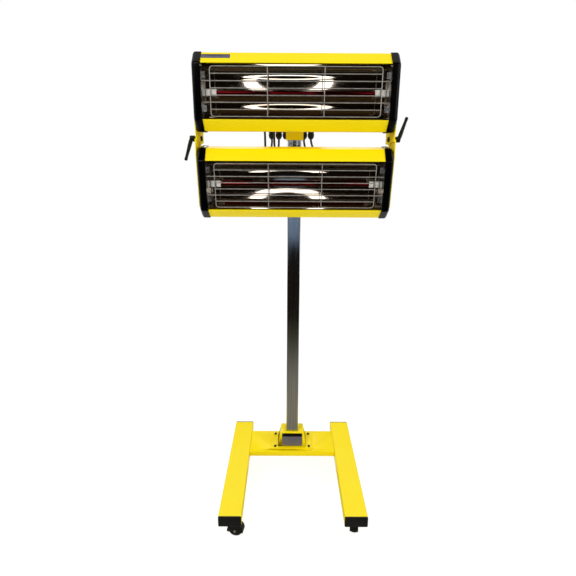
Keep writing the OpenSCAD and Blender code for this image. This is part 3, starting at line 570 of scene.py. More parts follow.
def forget(piece):
    bpy.data.objects.remove(piece)


# Copies of CAD nodes with real edges

mergeValues = {"gap": 0.01, "flatAngle": 0.5}


def refined(node, width):
    # a merged copy of the node whose sharp edges are rounded by width millimetres
    bm = bmesh.new()
    bm.from_mesh(frame["nodes"][node].data)
    bmesh.ops.remove_doubles(bm, verts=bm.verts, dist=mergeValues["gap"] * mm)
    bmesh.ops.dissolve_limit(bm, angle_limit=math.radians(mergeValues["flatAngle"]),
                             verts=bm.verts, edges=bm.edges)
    piece = fromMesh(node + "_finished", bm)
    bevelled(piece, width)
    return dress(piece, bodyOf(node), slotFor(node), [node])


edgeValues = {"crossbeam": 1.6, "column_foot": 1.2, "leg_end_plugs": 1.0, "rating_plate": 0.3,
              "column_cap": 1.0, "carriage_sleeve": 0.8, "head_yoke": 0.9, "pivot_studs": 0.8,
              "control_box": 0.8, "control_cover": 0.8, "upper_hinge_plates": 0.7,
              "lower_hinge_plates": 0.7, "rocker_switch": 0.7, "upper_lamp_ceramics": 0.8,
              "lower_lamp_ceramics": 0.8, "terminal_block": 0.5, "timer_unit": 0.8}
for wheel in wheelNames:
    edgeValues["caster_fork_" + wheel] = 1.0
    edgeValues["caster_axle_" + wheel] = 0.4
for node, width in edgeValues.items():
    refined(node, width)
print("edges rounded")


# Heads

headValues = {"pivot": (0, 26, 1356), "reach": 109, "rise": 136,
              "tilt": {"upper": 1.3, "lower": 8.8}, "length": 580, "height": 228, "depth": 105,
              "window": 160, "band": 35, "bevel": 16, "sheet": 2.5, "lip": 9, "foldRadius": 5,
              "frontRadius": 3, "rim": 0.5}


def headPlace(which):
    # from the middle of the window plane, +Y into the head, to the lamp's own frame in metres
    place = (toMetres @ Matrix.Translation(headValues["pivot"])
             @ Matrix.Rotation(math.radians(headValues["tilt"][which]), 4, "X"))
    if which == "lower":
        place = place @ Matrix.Diagonal((1, 1, -1, 1))
    return place @ Matrix.Translation((0, -headValues["reach"], headValues["rise"]))


def headOutline(grown):
    # the folded section as (depth, height) points, moved outwards; share keeps the 45 degree bends parallel
    v = headValues
    share = math.tan(math.radians(22.5))
    front, top = v["window"] / 2 + share * grown, v["height"] / 2 + grown
    band, bevel, back = v["band"] - share * grown, v["bevel"] - share * grown, v["depth"] + grown
    return [(-grown, -front), (-grown, front), (band, top), (v["depth"] - bevel, top),
            (back, v["height"] / 2 - bevel), (back, bevel - v["height"] / 2),
            (v["depth"] - bevel, -top), (band, -top)]


ventValues = {"count": 14, "pitch": 34, "width": 5, "length": 70, "arc": 8, "cutSheets": 3}


def buildShell(which):
    # folded sheet: outer skin, then the same line one sheet further in
    v = headValues
    half, t = v["window"] / 2, v["sheet"]
    folded = headOutline(0)
    line = [(v["lip"], half - tip)] + folded[1:] + [folded[0], (v["lip"], tip - half)]
    radii = [tip, v["frontRadius"]] + [v["foldRadius"]] * 6 + [v["frontRadius"], tip]
    arc = 4
    bends = roundCorners(line, radii, arc)[arc + 1:-arc - 1]
    outer = [Vector((v["lip"], half))] + bends + [Vector((v["lip"], -half))]
    inner = []
    for i, point in enumerate(outer):
        along = (outer[min(i + 1, len(outer) - 1)] - outer[max(i - 1, 0)]).normalized()
        inner.append(point + Vector((along.y, -along.x)) * t)
    loop = outer + inner[::-1]
    bm = bmesh.new()
    strip(bm, [[(side * v["length"] / 2, p.x, p.y) for p in loop] for side in (-1, 1)])
    return fromMesh(which + "_shell_folded", bm)


def buildHeadShell(which):
    v = headValues
    piece = buildShell(which)
    cutter = bmesh.new()
    arc = ventValues["arc"]
    w, h = ventValues["width"] / 2, (ventValues["length"] - ventValues["width"]) / 2
    outline = [(w * math.cos(a), h + w * math.sin(a)) for a in (math.pi * k / arc for k in range(arc + 1))]
    outline += [(-x, -z) for x, z in outline]
    deep = ventValues["cutSheets"] * v["sheet"]
    strip(cutter, [[(x, v["depth"] + side * deep, z) for x, z in outline] for side in (-1, 1)])
    cutter = fromMesh("ventCutter", cutter)
    start = -(ventValues["count"] - 1) / 2 * ventValues["pitch"]
    grow(piece, slotRow, {"Cutter": cutter, "Count": ventValues["count"], "Start": (start, 0, 0),
                          "Step": (ventValues["pitch"], 0, 0), "Material": paints["yellow_enamel"]})
    forget(cutter)
    bevelled(piece, v["rim"], 40, 1)
    return finishHeadPiece(piece, which, "yellow_enamel", ["shell"])


def finishHeadPiece(piece, which, slot, nodes, paint=None):
    # from the head's own millimetres to its place
    piece.data.transform(headPlace(which))
    if which == "lower":
        piece.data.flip_normals()
    return dress(piece, which + "_head", slot, [which + "_" + n for n in nodes], paint)


def headPiece(which, label, bm, slot, nodes, sharpAngle, paint=None):
    # a finished piece from a bmesh in a head's own millimetres
    piece = fromMesh(which + label, bm)
    settle(piece, sharpAngle)
    return finishHeadPiece(piece, which, slot, nodes, paint)


capValues = {"thick": 27, "proud": 3, "wall": 3, "round": 10, "roundSteps": 8, "corner": 11, "edge": 0.6,
             "innerCorner": 6, "crown": 12, "crownCorner": 10, "spacer": 16, "spacerIn": 60,
             "spacerRise": (64, 200), "plate": {"upper": 317.4, "lower": 320.8}, "gap": 0.02}


def buildCap(which, side):
    # skirt inside the shell, rounded rim and flat crown, with two spacers for the hinge plate
    v, c = headValues, capValues
    start = v["length"] / 2
    end = start + c["thick"]
    levels = [(end - c["round"], -c["wall"], c["innerCorner"]), (start, -c["wall"], c["innerCorner"]),
              (start, c["proud"] - c["edge"], c["corner"]), (start + c["edge"], c["proud"], c["corner"])]
    for k in range(c["roundSteps"] + 1):
        a = quarter * k / c["roundSteps"]
        levels.append((end - c["round"] * (1 - math.sin(a)), c["proud"] - c["round"] * (1 - math.cos(a)),
                       c["corner"]))
    levels.append((end, c["proud"] - c["round"] - c["crown"], c["crownCorner"]))
    bm = bmesh.new()
    strip(bm, [[(side * x, p.x, p.y) for p in roundCorners(headOutline(grown), corner, 6)]
               for x, grown, corner in levels])
    inside, outside = c["thick"] - 1, c["plate"][which] - start - c["gap"]
    for z in c["spacerRise"]:
        lathe(bm, [(0, inside), (c["spacer"] / 2, inside), (c["spacer"] / 2, outside), (0, outside)],
              (side * start, c["spacerIn"], z - v["rise"]), (side, 0, 0), 32)
    headPiece(which, "_end_" + sideNames[side], bm, "cap_plastic", ["cap_" + sideNames[side]], 38)


# The mirror sheet has long shallow folds. Each fold runs between two heights (world up, from the window's
# middle) while its slope goes from the first to the second angle, in degrees, up positive.
mirrorValues = {"half": 77.3, "sheet": 1.5, "end": 294, "startDepth": 9.5, "step": 0.8, "columns": 24,
                "frontDepth": 3.4, "endSheet": 1,
                "folds": {
                    "upper": [(77.3, 71.5, -5.2, -3.1), (71.5, 66, -82, -82), (66, 55, -30, -12.8),
                              (55, 41, -12.8, -2.2), (41, 0, -7.2, -1.9), (0, -29, -1, 4.5),
                              (-29, -48, -9.8, 1.1), (-48, -60, 1.1, 8), (-60, -66, 30, 60),
                              (-66, -77.3, 75.2, 75.2)],
                    "lower": [(77.3, 66, -77, -77), (66, 57, -50, -20), (57, 38, -8, 3),
                              (38, 33, 7.2, 9), (33, -17, 1, 7.2), (-17, -27, 7.2, 9.1),
                              (-27, -54, 9.1, 12), (-54, -66, 20, 24),
                              (-66, -71.5, 82, 82), (-71.5, -77.3, 16.6, 17.8)]}}


def mirrorProfile(which, values):
    # adds up the slopes from the top edge down, as (depth, height) points
    depth, points = values["startDepth"], []
    for high, low, first, second in values["folds"][which]:
        steps = max(1, round((high - low) / values["step"]))
        for k in range(steps):
            points.append((depth, high - (high - low) * k / steps))
            slope = math.radians(first + (second - first) * (k + 0.5) / steps)
            depth -= math.tan(slope) * (high - low) / steps
    points.append((depth, -values["half"]))
    up = 1 if which == "upper" else -1
    return [(y, up * z) for y, z in points]


def buildReflector(which):
    m = mirrorValues
    front = mirrorProfile(which, m)
    back = [(y + m["sheet"], z) for y, z in reversed(front)]
    bm = bmesh.new()
    strip(bm, [[(-m["end"] + 2 * m["end"] * k / m["columns"], y, z) for y, z in front + back]
               for k in range(m["columns"] + 1)])
    headPiece(which, "_mirror", bm, "reflector_metal", ["reflector"], 2.5)
    edge = m["half"] * (1 if front[0][1] > 0 else -1)
    for side in (-1, 1):
        bm = bmesh.new()
        outline = [(m["frontDepth"], edge)] + front + [(m["frontDepth"], -edge)]
        strip(bm, [[(side * x, y, z) for y, z in outline] for x in (m["end"] - m["endSheet"], m["end"])])
        headPiece(which, "_mirror_end_" + sideNames[side], bm, "reflector_metal", [], 30,
                  extraPaints["endPlate"])


grilleValues = {"wire": 3, "height": 146, "width": 526, "count": 8, "posts": 4, "depth": 4.7,
                "corner": 11, "hooks": 2, "hookReach": 293, "postShift": 2.1}


def buildGrille(which):
    g = grilleValues
    h, w, y, r = (g["height"] - g["wire"]) / 2, g["width"] / 2, g["depth"], g["corner"]
    loop = [(p.x, y, p.y) for p in roundCorners(rectangle(w, h), r, 8)]
    lines = [loop + [loop[0]]]
    rows = [h * (2 * i / (g["count"] - 1) - 1) for i in range(g["count"])]
    for i, z in enumerate(rows[1:-1], 1):
        long = i in (g["hooks"], g["count"] - 1 - g["hooks"])
        reach = g["hookReach"] if long else w
        lines.append([(-reach, y, z), (reach, y, z)])
    for i in range(1, g["posts"] - 1):
        x = g["width"] * (i / (g["posts"] - 1) - 0.5)
        lines.append([(x, y + g["postShift"], -h), (x, y + g["postShift"], h)])
    piece = drawWires(which + "_guard", lines)
    grow(piece, roundWires, {"Wire": g["wire"] * mm, "Sides": 12, "Material": paints["bright_wire"]}, 60)
    piece.data.transform(Matrix.Scale(1 / mm, 4))
    return finishHeadPiece(piece, which, "bright_wire", ["grille"])


for which in ("upper", "lower"):
    buildHeadShell(which)
    for side in (-1, 1):
        buildCap(which, side)
    buildReflector(which)
    buildGrille(which)
print("heads built")


# Rings of points for turned, six-sided and fluted parts

fluteValues = {"count": 12, "depth": 0.025}


def ringOf(shape, radius, height, count):
    points = []
    for a in circle(count):
        r = radius
        if "hex" in shape:
            r = radius * math.cos(math.pi / 6) / math.cos(a % (math.pi / 3) - math.pi / 6)
        elif "flute" in shape:
            depth = fluteValues["depth"]
            r = radius * (1 - depth + depth * math.cos(fluteValues["count"] * a))
        points.append(Vector((r * math.cos(a), r * math.sin(a), height)))
    return points


def turned(bm, rings, count=48):
    # a closed body along +Z from (radius, height) rings in millimetres, some with their shape first
    strip(bm, [ringOf(shape, max(radius, tip), height, count) for *shape, radius, height in rings])


def turnedRing(bm, section, place, turns):
    # spins a closed section of (radius, height) points about +Z, so that the bore stays open
    rows = []
    for a in circle(turns):
        rows.append([bm.verts.new(place @ Vector((r * math.cos(a), r * math.sin(a), h))) for r, h in section])
    for i in range(turns):
        for j in range(len(section)):
            n, m = (i + 1) % turns, (j + 1) % len(section)
            bm.faces.new((rows[i][j], rows[i][m], rows[n][m], rows[n][j]))


def headMetres(which):
    # from a head's own frame in metres to the lamp's
    return headPlace(which) @ Matrix.Scale(1 / mm, 4)


def screwRings(head, height, socket, edge=0.5, floor=0.45):
    # a round head with a hexagon socket that is open down to a share of the height
    return [(head / 2, 0), (head / 2, height - edge), (head / 2 - edge, height),
            ("hex", socket / 2, height), ("hex", socket / 2, height * floor)]


def copied(name, bodies, spots, body, slot, nodes=(), place=None, count=48):
    # copies of one part, +Z out of the surface it sits on, at (point in millimetres, euler turn) pairs;
    # place turns the copies' own frame in metres into the lamp's
    bm = bmesh.new()
    for rings in bodies:
        turned(bm, rings, count)
    part = fromMesh("part", bm, toMetres)
    mesh = bpy.data.meshes.new(name)
    mesh.from_pydata([tuple(Vector(point) * mm) for point, _ in spots], [], [])
    turn = mesh.attributes.new("turn", "FLOAT_VECTOR", "POINT")
    for entry, (_, angles) in zip(turn.data, spots):
        entry.vector = angles
    piece = link(name, mesh)
    grow(piece, copiesOnPoints, {"Piece": part, "Material": paints[slot]})
    forget(part)
    if place is not None:
        piece.data.transform(place)
        if place.determinant() < 0:
            piece.data.flip_normals()
    return dress(piece, body, slot, nodes)


def tagged(name, bm, body, slot, nodes=(), paint=None, place=toMetres, sharpAngle=35):
    # a finished piece from a bmesh in its own frame
    piece = fromMesh(name, bm, place)
    settle(piece, sharpAngle)
    return dress(piece, body, slot, nodes, paint)


# Foot bolts: socket heads, shanks and nuts under the crossbeam

footValues = {"pitch": (143, 90), "middle": (0, 144, 113), "head": 10, "height": 5, "socket": 5,
              "thread": 6, "length": 22, "nut": 10, "nutTop": -8, "nutHeight": 5, "edge": 0.5,
              "turn": (0.4, 0.9)}


def buildFootBolts(v):
    r, nut, low = v["thread"] / 2, v["nut"] / 2, v["nutTop"] - v["nutHeight"]
    shank = [(r - v["edge"], -v["length"]), (r, v["edge"] - v["length"]), (r, 0)]
    nutRings = [("hex", nut - v["edge"], low), ("hex", nut, low + 0.6), ("hex", nut, v["nutTop"])]
    x0, y0, z0 = v["middle"]
    spots = [((x0 + sx * v["pitch"][0] / 2, y0 + sy * v["pitch"][1] / 2, z0),
              (0, 0, v["turn"][0] * sx + v["turn"][1] * sy)) for sx in (-1, 1) for sy in (-1, 1)]
    copied("foot_bolts_turned", [screwRings(v["head"], v["height"], v["socket"]), shank, nutRings], spots,
           "stand", "blackened_steel", ["foot_bolts"])


# Caster wheels: hard tyre on a dished hub with an open bore

wheelValues = {"radius": 25, "trail": 16, "in": 42, "base": 596, "x": 218.5,
               "turn": {"front_left": -10, "front_right": 80, "rear_left": -70, "rear_right": -100},
               "profile": [(3.06, 10), (5.5, 10), (5.5, 7.8), (6.6, 7.3), (15.8, 7.3), (16.6, 7.7),
                           (17.2, 9.4), (17.8, 9.8), (18.4, 9.5), (18.9, 9.0), (19.4, 9.6), (21.2, 10),
                           (22.9, 9.5), (24.1, 8.2), (24.8, 6.2), (25, 3.5)]}


def buildWheel(name, v):
    section = v["profile"] + [(r, -h) for r, h in reversed(v["profile"])]
    across = -1 if "left" in name else 1
    along = -1 if "front" in name else 1
    place = (Matrix.Translation((across * v["x"], along * (v["base"] / 2 - v["in"]), 0))
             @ Matrix.Rotation(math.radians(v["turn"][name]), 4, "Z")
             @ Matrix.Translation((v["trail"], 0, v["radius"])) @ Matrix.Rotation(quarter, 4, "X"))
    bm = bmesh.new()
    turnedRing(bm, section, place, 96)
    tagged("wheel_" + name, bm, "wheel_" + name, "wheel_plastic", ["caster_wheel_" + name])


# Clamp levers: neck, barrel and tapered arm with a round tip, melted into one moulding

leverValues = {"x": 328.6, "y": 26, "z": 1356, "slant": 18, "root": 20.5, "voxel": 0.75,
               "soften": 4,
               "neck": [(7, 0), (7, 9.5)],
               "barrel": [(6, 8), (9.2, 8.6), (10, 10), (10, 22.5), (9.2, 24.6), (6.5, 25.6)],
               "arm": [(6.2, 3), (6.9, 10), (6.6, 24), (5.5, 48), (5.0, 62), (5.5, 66.5), (5.7, 70),
                       (5.2, 73.2), (3.6, 75.2)],
               "button": [(4.6, -2), (4.6, 0.4), (4.2, 0.8), (3.4, 0.8), (3.2, 0.3)], "buttonAt": 25.2}


def buildLever(side, v):
    name = "clamp_lever_" + sideNames[side]
    bm = bmesh.new()
    lathe(bm, v["neck"], (0, 0, 0), (side, 0, 0), 40)
    lathe(bm, v["barrel"], (0, 0, 0), (side, 0, 0), 48)
    slant = math.radians(v["slant"])
    lathe(bm, v["arm"], (side * v["root"], 0, 0), (side * math.sin(slant), 0, side * math.cos(slant)), 32)
    piece = fromMesh(name + "_moulded", bm)
    melt = piece.modifiers.new("melt", "REMESH")
    melt.mode = "VOXEL"
    melt.voxel_size = v["voxel"]
    soften = piece.modifiers.new("soften", "SMOOTH")
    soften.iterations = v["soften"]
    settle(piece, 0)
    piece.data.shade_smooth()
    place = toMetres @ Matrix.Translation((side * v["x"], v["y"], v["z"]))
    piece.data.transform(place)
    dress(piece, bodyOf(name), "black_plastic", [name])
    bm = bmesh.new()
    turned(bm, v["button"])
    tagged(name + "_button", bm, bodyOf(name), "zinc_steel", [], None,
           place @ Matrix.Translation((side * v["buttonAt"], 0, 0)) @ Matrix.Rotation(side * quarter, 4, "Y"))


# Lock knob: six lobes with rounded rims, on a neck and a stud

knobValues = {"x": 41.4, "y": 144, "z": 1466, "radius": 21.4, "lobe": 3.3, "lobes": 6, "neck": 11,
              "neckLength": 8, "height": 22, "stud": 5, "studIn": -15.9,
              "low": [(0.6, 0), (0.84, 0.2), (0.95, 1.4), (1, 4)],
              "high": [(1, -7), (0.97, -3.6), (0.88, -1.2), (0.74, -0.2), (0.5, 0)],
              "studTip": 0.6, "end": [(6, -1), (6, 0.1), (5.4, 0.4)]}


def buildKnob(v):
    place = (toMetres @ Matrix.Translation((v["x"], v["y"], v["z"])) @ Matrix.Rotation(quarter, 4, "Y"))
    base, top = v["neckLength"], v["neckLength"] + v["height"]
    levels = [(scale, base + h) for scale, h in v["low"]] + [(scale, top + h) for scale, h in v["high"]]
    bm = bmesh.new()
    rings = []
    for scale, height in levels:
        ring = []
        for a in circle(96):
            r = v["radius"] * scale + v["lobe"] * scale ** 3 * math.cos(v["lobes"] * a)
            ring.append(Vector((r * math.cos(a), r * math.sin(a), height)))
        rings.append(ring)
    strip(bm, rings)
    turned(bm, [(v["neck"] - 1, 0), (v["neck"], 1), (v["neck"], base + 1)])
    tagged("lock_knob_lobed", bm, bodyOf("lock_knob"), "black_plastic", ["lock_knob"], None, place, 42)
    bm = bmesh.new()
    turned(bm, [(v["stud"] - v["studTip"], v["studIn"]), (v["stud"], v["studIn"] + v["studTip"]),
                (v["stud"], 1)])
    turned(bm, [(r, top + h) for r, h in v["end"]])
    tagged("lock_knob_stud", bm, bodyOf("lock_knob"), "zinc_steel", [], None, place)


# Timer: knob with a wing and a pointer, before a dial of plain numbers; switch marks; cover screws

dialValues = {"x": -34, "y": 258, "z": 1510, "gap": 0.4, "wing": (4.5, 15),
              "wingLevels": [(0, 0, 5), (0, 0, 11), (0.8, 1.5, 17), (1.6, 2.6, 18)],
              "pointer": ((-0.8, 3, 17.7), (0.8, 11.8, 18.1)), "ticks": 28, "longEvery": 9,
              "sweep": 270, "tickIn": 24, "tick": (0.25, 27), "longTick": (0.45, 28), "numbers": 33,
              "sunk": -0.05, "lift": 0.12,
              "letter": 6.5, "last": 60, "labels": 4,
              "rings": [(3, -15), (3, 0), ("flute", 20.4, 0), ("flute", 21, 0.8), ("flute", 21, 4.6),
                        (19.6, 6), (15.6, 6.4), (15, 7), (14.6, 10.8), (13.6, 12), (1, 12)]}


def backPlace(x, y, z, lean=0):
    # a frame on the cover's outer face: +X to a reader's right, +Y up, +Z out of the face
    return (toMetres @ Matrix.Translation((x, y, z)) @ Matrix.Rotation(math.radians(lean), 4, "X")
            @ Matrix(((-1, 0, 0, 0), (0, 0, 1, 0), (0, 1, 0, 0), (0, 0, 0, 1))))


def bar(bm, low, high):
    # a plain block as one of a piece's solids
    strip(bm, [[(low[0], low[1], z), (high[0], low[1], z), (high[0], high[1], z), (low[0], high[1], z)]
               for z in (low[2], high[2])])


def buildTimer(v):
    place = backPlace(v["x"], v["y"] + v["gap"], v["z"])
    bm = bmesh.new()
    turned(bm, v["rings"], 96)
    w, r = v["wing"]
    strip(bm, [[(x, y, z) for x, y in rectangle(w - slimmer, r - shorter)]
               for slimmer, shorter, z in v["wingLevels"]])
    tagged("timer_knob_winged", bm, bodyOf("timer_knob"), "black_plastic", ["timer_knob"], None, place)
    bm = bmesh.new()
    bar(bm, *v["pointer"])
    tagged("timer_pointer", bm, bodyOf("timer_knob"), "pale_plastic", [], printWhite, place)
    bm = bmesh.new()
    for k in range(v["ticks"]):
        turn = Matrix.Rotation(-math.radians(v["sweep"] * k / (v["ticks"] - 1)), 4, "Z")
        before = len(bm.verts)
        half, reach = v["tick"] if k % v["longEvery"] else v["longTick"]
        bar(bm, (-half, v["tickIn"], v["sunk"]), (half, reach, v["lift"]))
        bm.verts.ensure_lookup_table()
        bmesh.ops.transform(bm, matrix=turn, verts=bm.verts[before:])
    dial = backPlace(v["x"], v["y"], v["z"])
    tagged("timer_ticks", bm, "carriage", "pale_plastic", [], printWhite, dial)
    for k in range(v["labels"]):
        share = k / (v["labels"] - 1)
        words = bpy.data.curves.new("number", "FONT")
        words.body = str(round(v["last"] * share))
        words.size = v["letter"]
        words.align_x = words.align_y = "CENTER"
        words.extrude = v["lift"] / 2
        a = math.radians(v["sweep"] * share)
        piece = link("timer_number_" + str(k), words)
        bpy.context.view_layer.update()
        mesh = bpy.data.meshes.new_from_object(piece)
        forget(piece)
        spot = (v["numbers"] * math.sin(a), v["numbers"] * math.cos(a), v["lift"] / 2)
        mesh.transform(dial @ Matrix.Translation(spot))
        dress(link("timer_number_" + str(k), mesh), "carriage", "pale_plastic", [], printWhite)


rockerValues = {"x": 46, "y": 256.5, "z": 1510, "tip": 4, "face": 4.5, "mark": 7.6, "proud": 0.1,
                "line": (0.5, 2.6), "circle": (2.0, 2.8)}


def buildRockerMarks(v):
    place = backPlace(v["x"], v["y"], v["z"], v["tip"]) @ Matrix.Translation((0, 0, v["face"]))
    bm = bmesh.new()
    t = v["proud"]
    half, reach = v["line"]
    inner, outer = v["circle"]
    bar(bm, (-half, v["mark"] - reach, -t), (half, v["mark"] + reach, t))
    turnedRing(bm, [(inner, -t), (outer, -t), (outer, t), (inner, t)],
               Matrix.Translation((0, -v["mark"], 0)), 32)
    tagged("rocker_marks", bm, bodyOf("rocker_switch"), "pale_plastic", [], printWhite, place)


coverValues = {"x": 97, "rise": (1400, 1564), "y": 258, "head": 7.5, "height": 2.2, "socket": 3,
               "turn": 0.3}


def buildCoverScrews(v):
    spots = [((x, v["y"], z), (-quarter, v["turn"] * x, 0)) for x in (-v["x"], v["x"]) for z in v["rise"]]
    copied("cover_screws", [screwRings(v["head"], v["height"], v["socket"], 0.7)], spots, "carriage",
           "zinc_steel")


# Cable glands: hexagon body against the wall and a fluted dome nut

boxGlandValues = {"x": (-84, -58, 36, 62), "spare": -32, "y": 213, "z": 1392, "turn": 0.2,
                  "rings": [(7, -8), (7, 0), ("hex", 12.6, 0), ("hex", 12.6, 6.4),
                            (10, 7), (10, 9), ("flute", 12.2, 9.6), ("flute", 12.2, 19),
                            ("flute", 11.2, 22), (9.2, 26), (6.8, 29.3)],
                  "shut": [(5.6, 30), (3.9, 30)],
                  "open": [(5.2, 30), (4.4, 29.4), (4.2, 20)]}
headGlandValues = {"upper": ((-104, -72), 52), "lower": ((112, 146), 60), "depth": 105,
                   "rings": [(6, -6), (6, 0), ("hex", 8.5, 0), ("hex", 8.5, 4),
                             (7, 4.3), ("flute", 8.4, 4.7), ("flute", 8.4, 9.6),
                             (7, 13), (5.2, 15.6), (4.4, 16), (3.9, 16)]}


def buildGlands(v, h):
    for name, end, xs, nodes in (("box_glands_fluted", v["shut"], v["x"], ["box_glands"]),
                                 ("box_gland_spare", v["open"], [v["spare"]], [])):
        spots = [((x, v["y"], v["z"]), (2 * quarter, 0, v["turn"] * k)) for k, x in enumerate(xs)]
        copied(name, [v["rings"] + end], spots, "carriage", "black_plastic", nodes)
    for which in ("upper", "lower"):
        xs, high = h[which]
        spots = [((x, h["depth"], high - headValues["rise"]), (-quarter, 0, 0)) for x in xs]
        copied(which + "_glands_fluted", [h["rings"]], spots, which + "_head", "black_plastic",
               [which + "_glands"], headMetres(which))


# Inside the heads: quartz tube with its tip-off, straps round the ceramics, folded brackets with screws

lampPartValues = {"tube": 6, "reach": 256, "depth": 38, "strapAt": (262, 280), "strap": (7.9, 10.4),
                  "strapWide": 3.2, "bracketFrom": 281, "bracketTo": 292.6,
                  "brackets": ((51, 22), (-46, 26)), "bracketHigh": 20, "sheet": 1.2,
                  "bracketDown": 11, "bracketUp": 12, "screwDown": 1,
                  "screw": (7, 2.4, 2.6, 0.6), "strapThick": 0.6, "tipAt": 24,
                  "tubeEnd": [(3, 0), (0.6, 1), (0, 3)],
                  "tipOff": [(2.4, 5.4), (1.7, 6.6), (0.9, 8), (0.3, 8.6)]}


def buildLampParts(which, v):
    bm = bmesh.new()
    r, end = v["tube"], v["reach"]
    ends = [(r - less, along - end) for less, along in v["tubeEnd"]]
    ends += [(radius, -height) for radius, height in reversed(ends)]
    lathe(bm, ends, (0, v["depth"], 0), (1, 0, 0), 32)
    lathe(bm, v["tipOff"], (v["tipAt"], v["depth"], 0), (0, 1, 0), 16)
    headPiece(which, "_quartz_tube", bm, "lamp_glass", ["lamp_tube"], 40)
    bm = bmesh.new()
    for side in (-1, 1):
        for x in v["strapAt"]:
            inner = roundCorners(rectangle(*v["strap"]), 2, 3)
            rings = []
            for thick, shift in ((0, 0), (v["strapThick"], 0), (v["strapThick"], 1), (0, 1)):
                k = 1 + thick / v["strap"][0]
                rings.append([(side * (x + shift * v["strapWide"]), v["depth"] + p.x * k, p.y * k)
                              for p in inner])
            strip(bm, rings + [rings[0]], closeEnds=False)
    bmesh.ops.remove_doubles(bm, verts=bm.verts, dist=0.001)
    headPiece(which, "_ceramic_straps", bm, "zinc_steel", [], 30)
    bm = bmesh.new()
    spots = []
    for side in (-1, 1):
        for z, y in v["brackets"]:
            h, t, a, b = v["bracketHigh"] / 2, v["sheet"], v["bracketFrom"], v["bracketTo"]
            low, high = y - v["bracketDown"], y + v["bracketUp"]
            outline = [(b, low), (b, high), (a, high), (a, high - t), (b - t, high - t), (b - t, low)]
            strip(bm, [[(side * x, p, z + s) for x, p in outline] for s in (-h, h)])
            spots.append(((side * (b - t), y - v["screwDown"], z), (0, -side * quarter, 0)))
    headPiece(which, "_end_brackets", bm, "zinc_steel", [], 30)
    copied(which + "_bracket_screws", [screwRings(*v["screw"])], spots, which + "_head", "zinc_steel",
           [], headMetres(which), 24)


# Screws that hold the hinge plates on the spacers of the end caps

hingeScrewValues = {"y": 60, "rise": (64, 200), "face": {"upper": 320.4, "lower": 323.8},
                    "head": 10, "height": 2.8, "socket": 4}


def buildHingeScrews(which, v):
    spots = [((side * v["face"][which], v["y"], z - headValues["rise"]), (0, side * quarter, 0))
             for side in (-1, 1) for z in v["rise"]]
    copied(which + "_hinge_screws", [screwRings(v["head"], v["height"], v["socket"], 0.9)], spots,
           which + "_head", "blackened_steel", [], headMetres(which))


# Plain strip on the upper head's top band, and rivets on the pedestal's plate

stripValues = {"x": -245, "size": (88, 18), "middle": (21.8, 101.2), "thick": 0.4, "corner": 1.5,
               "border": 1.2, "ridge": 0.2, "groove": 0.15}


def buildStripPlate(v):
    slope = math.atan2((headValues["height"] - headValues["window"]) / 2, headValues["band"])
    place = (headPlace("upper") @ Matrix.Translation((v["x"], *v["middle"]))
             @ Matrix.Rotation(slope, 4, "X"))
    w, h = v["size"][0] / 2, v["size"][1] / 2
    bm = bmesh.new()
    rings = []
    for inset, z in ((0, -v["ridge"]), (0, v["thick"]), (v["border"] - v["ridge"], v["thick"]),
                     (v["border"], v["thick"] - v["groove"])):
        corners = rectangle(w - inset, h - inset)
        rings.append([(p.x, p.y, z) for p in roundCorners(corners, v["corner"], 4)])
    strip(bm, rings)
    tagged("strip_plate", bm, "upper_head", "plate_metal", [], extraPaints["labelPlate"], place)


rivetValues = {"x": 40, "rise": (7, 54), "foot": (0, 97, 113.3), "lean": 12.78, "proud": 0.8,
               "rings": [(1.7, -0.2), (1.6, 0.5), (1.1, 0.9), (0.4, 1.05)]}


def buildRivets(v):
    place = (Matrix.Translation(Vector(v["foot"]) * mm)
             @ Matrix.Rotation(-math.radians(v["lean"]), 4, "X"))
    spots = [((x, -v["proud"], z), (quarter, 0, 0)) for x in (-v["x"], v["x"]) for z in v["rise"]]
    copied("plate_rivets", [v["rings"]], spots, "stand", "zinc_steel", [], place, 16)


buildFootBolts(footValues)
for name in wheelNames:
    buildWheel(name, wheelValues)
for side in (-1, 1):
    buildLever(side, leverValues)
buildKnob(knobValues)
buildTimer(dialValues)
buildRockerMarks(rockerValues)
buildCoverScrews(coverValues)
buildGlands(boxGlandValues, headGlandValues)
for which in ("upper", "lower"):
    buildLampParts(which, lampPartValues)
    buildHingeScrews(which, hingeScrewValues)
buildStripPlate(stripValues)
buildRivets(rivetValues)
print("fittings built")


# Stage

def giveSurface(tree, shader, socket):
    # the tree's output takes another surface than its plain shader
    output = [n for n in tree.nodes if n.type == "OUTPUT_MATERIAL"][0]
    tree.nodes.remove(shader)
    tree.links.new(socket, output.inputs[0])


def glowNodes(tree):
    # 1 for rays from the camera, off a mirror or through glass
    path = addNode(tree, "ShaderNodeLightPath").outputs
    first = addNode(tree, "ShaderNodeMath", {0: path["Is Camera Ray"], 1: path["Is Glossy Ray"]},
                    operation="MAXIMUM")
    return addNode(tree, "ShaderNodeMath", {0: first.outputs[0], 1: path["Is Transmission Ray"]},
                   operation="MAXIMUM").outputs[0]


stageValues = {"ambient": 0.64, "floorSize": 14, "floorGlow": 0.86,
               "ringOuter": 0.285, "ringInner": 0.2, "ringAhead": 0.02, "ringGlow": 5}


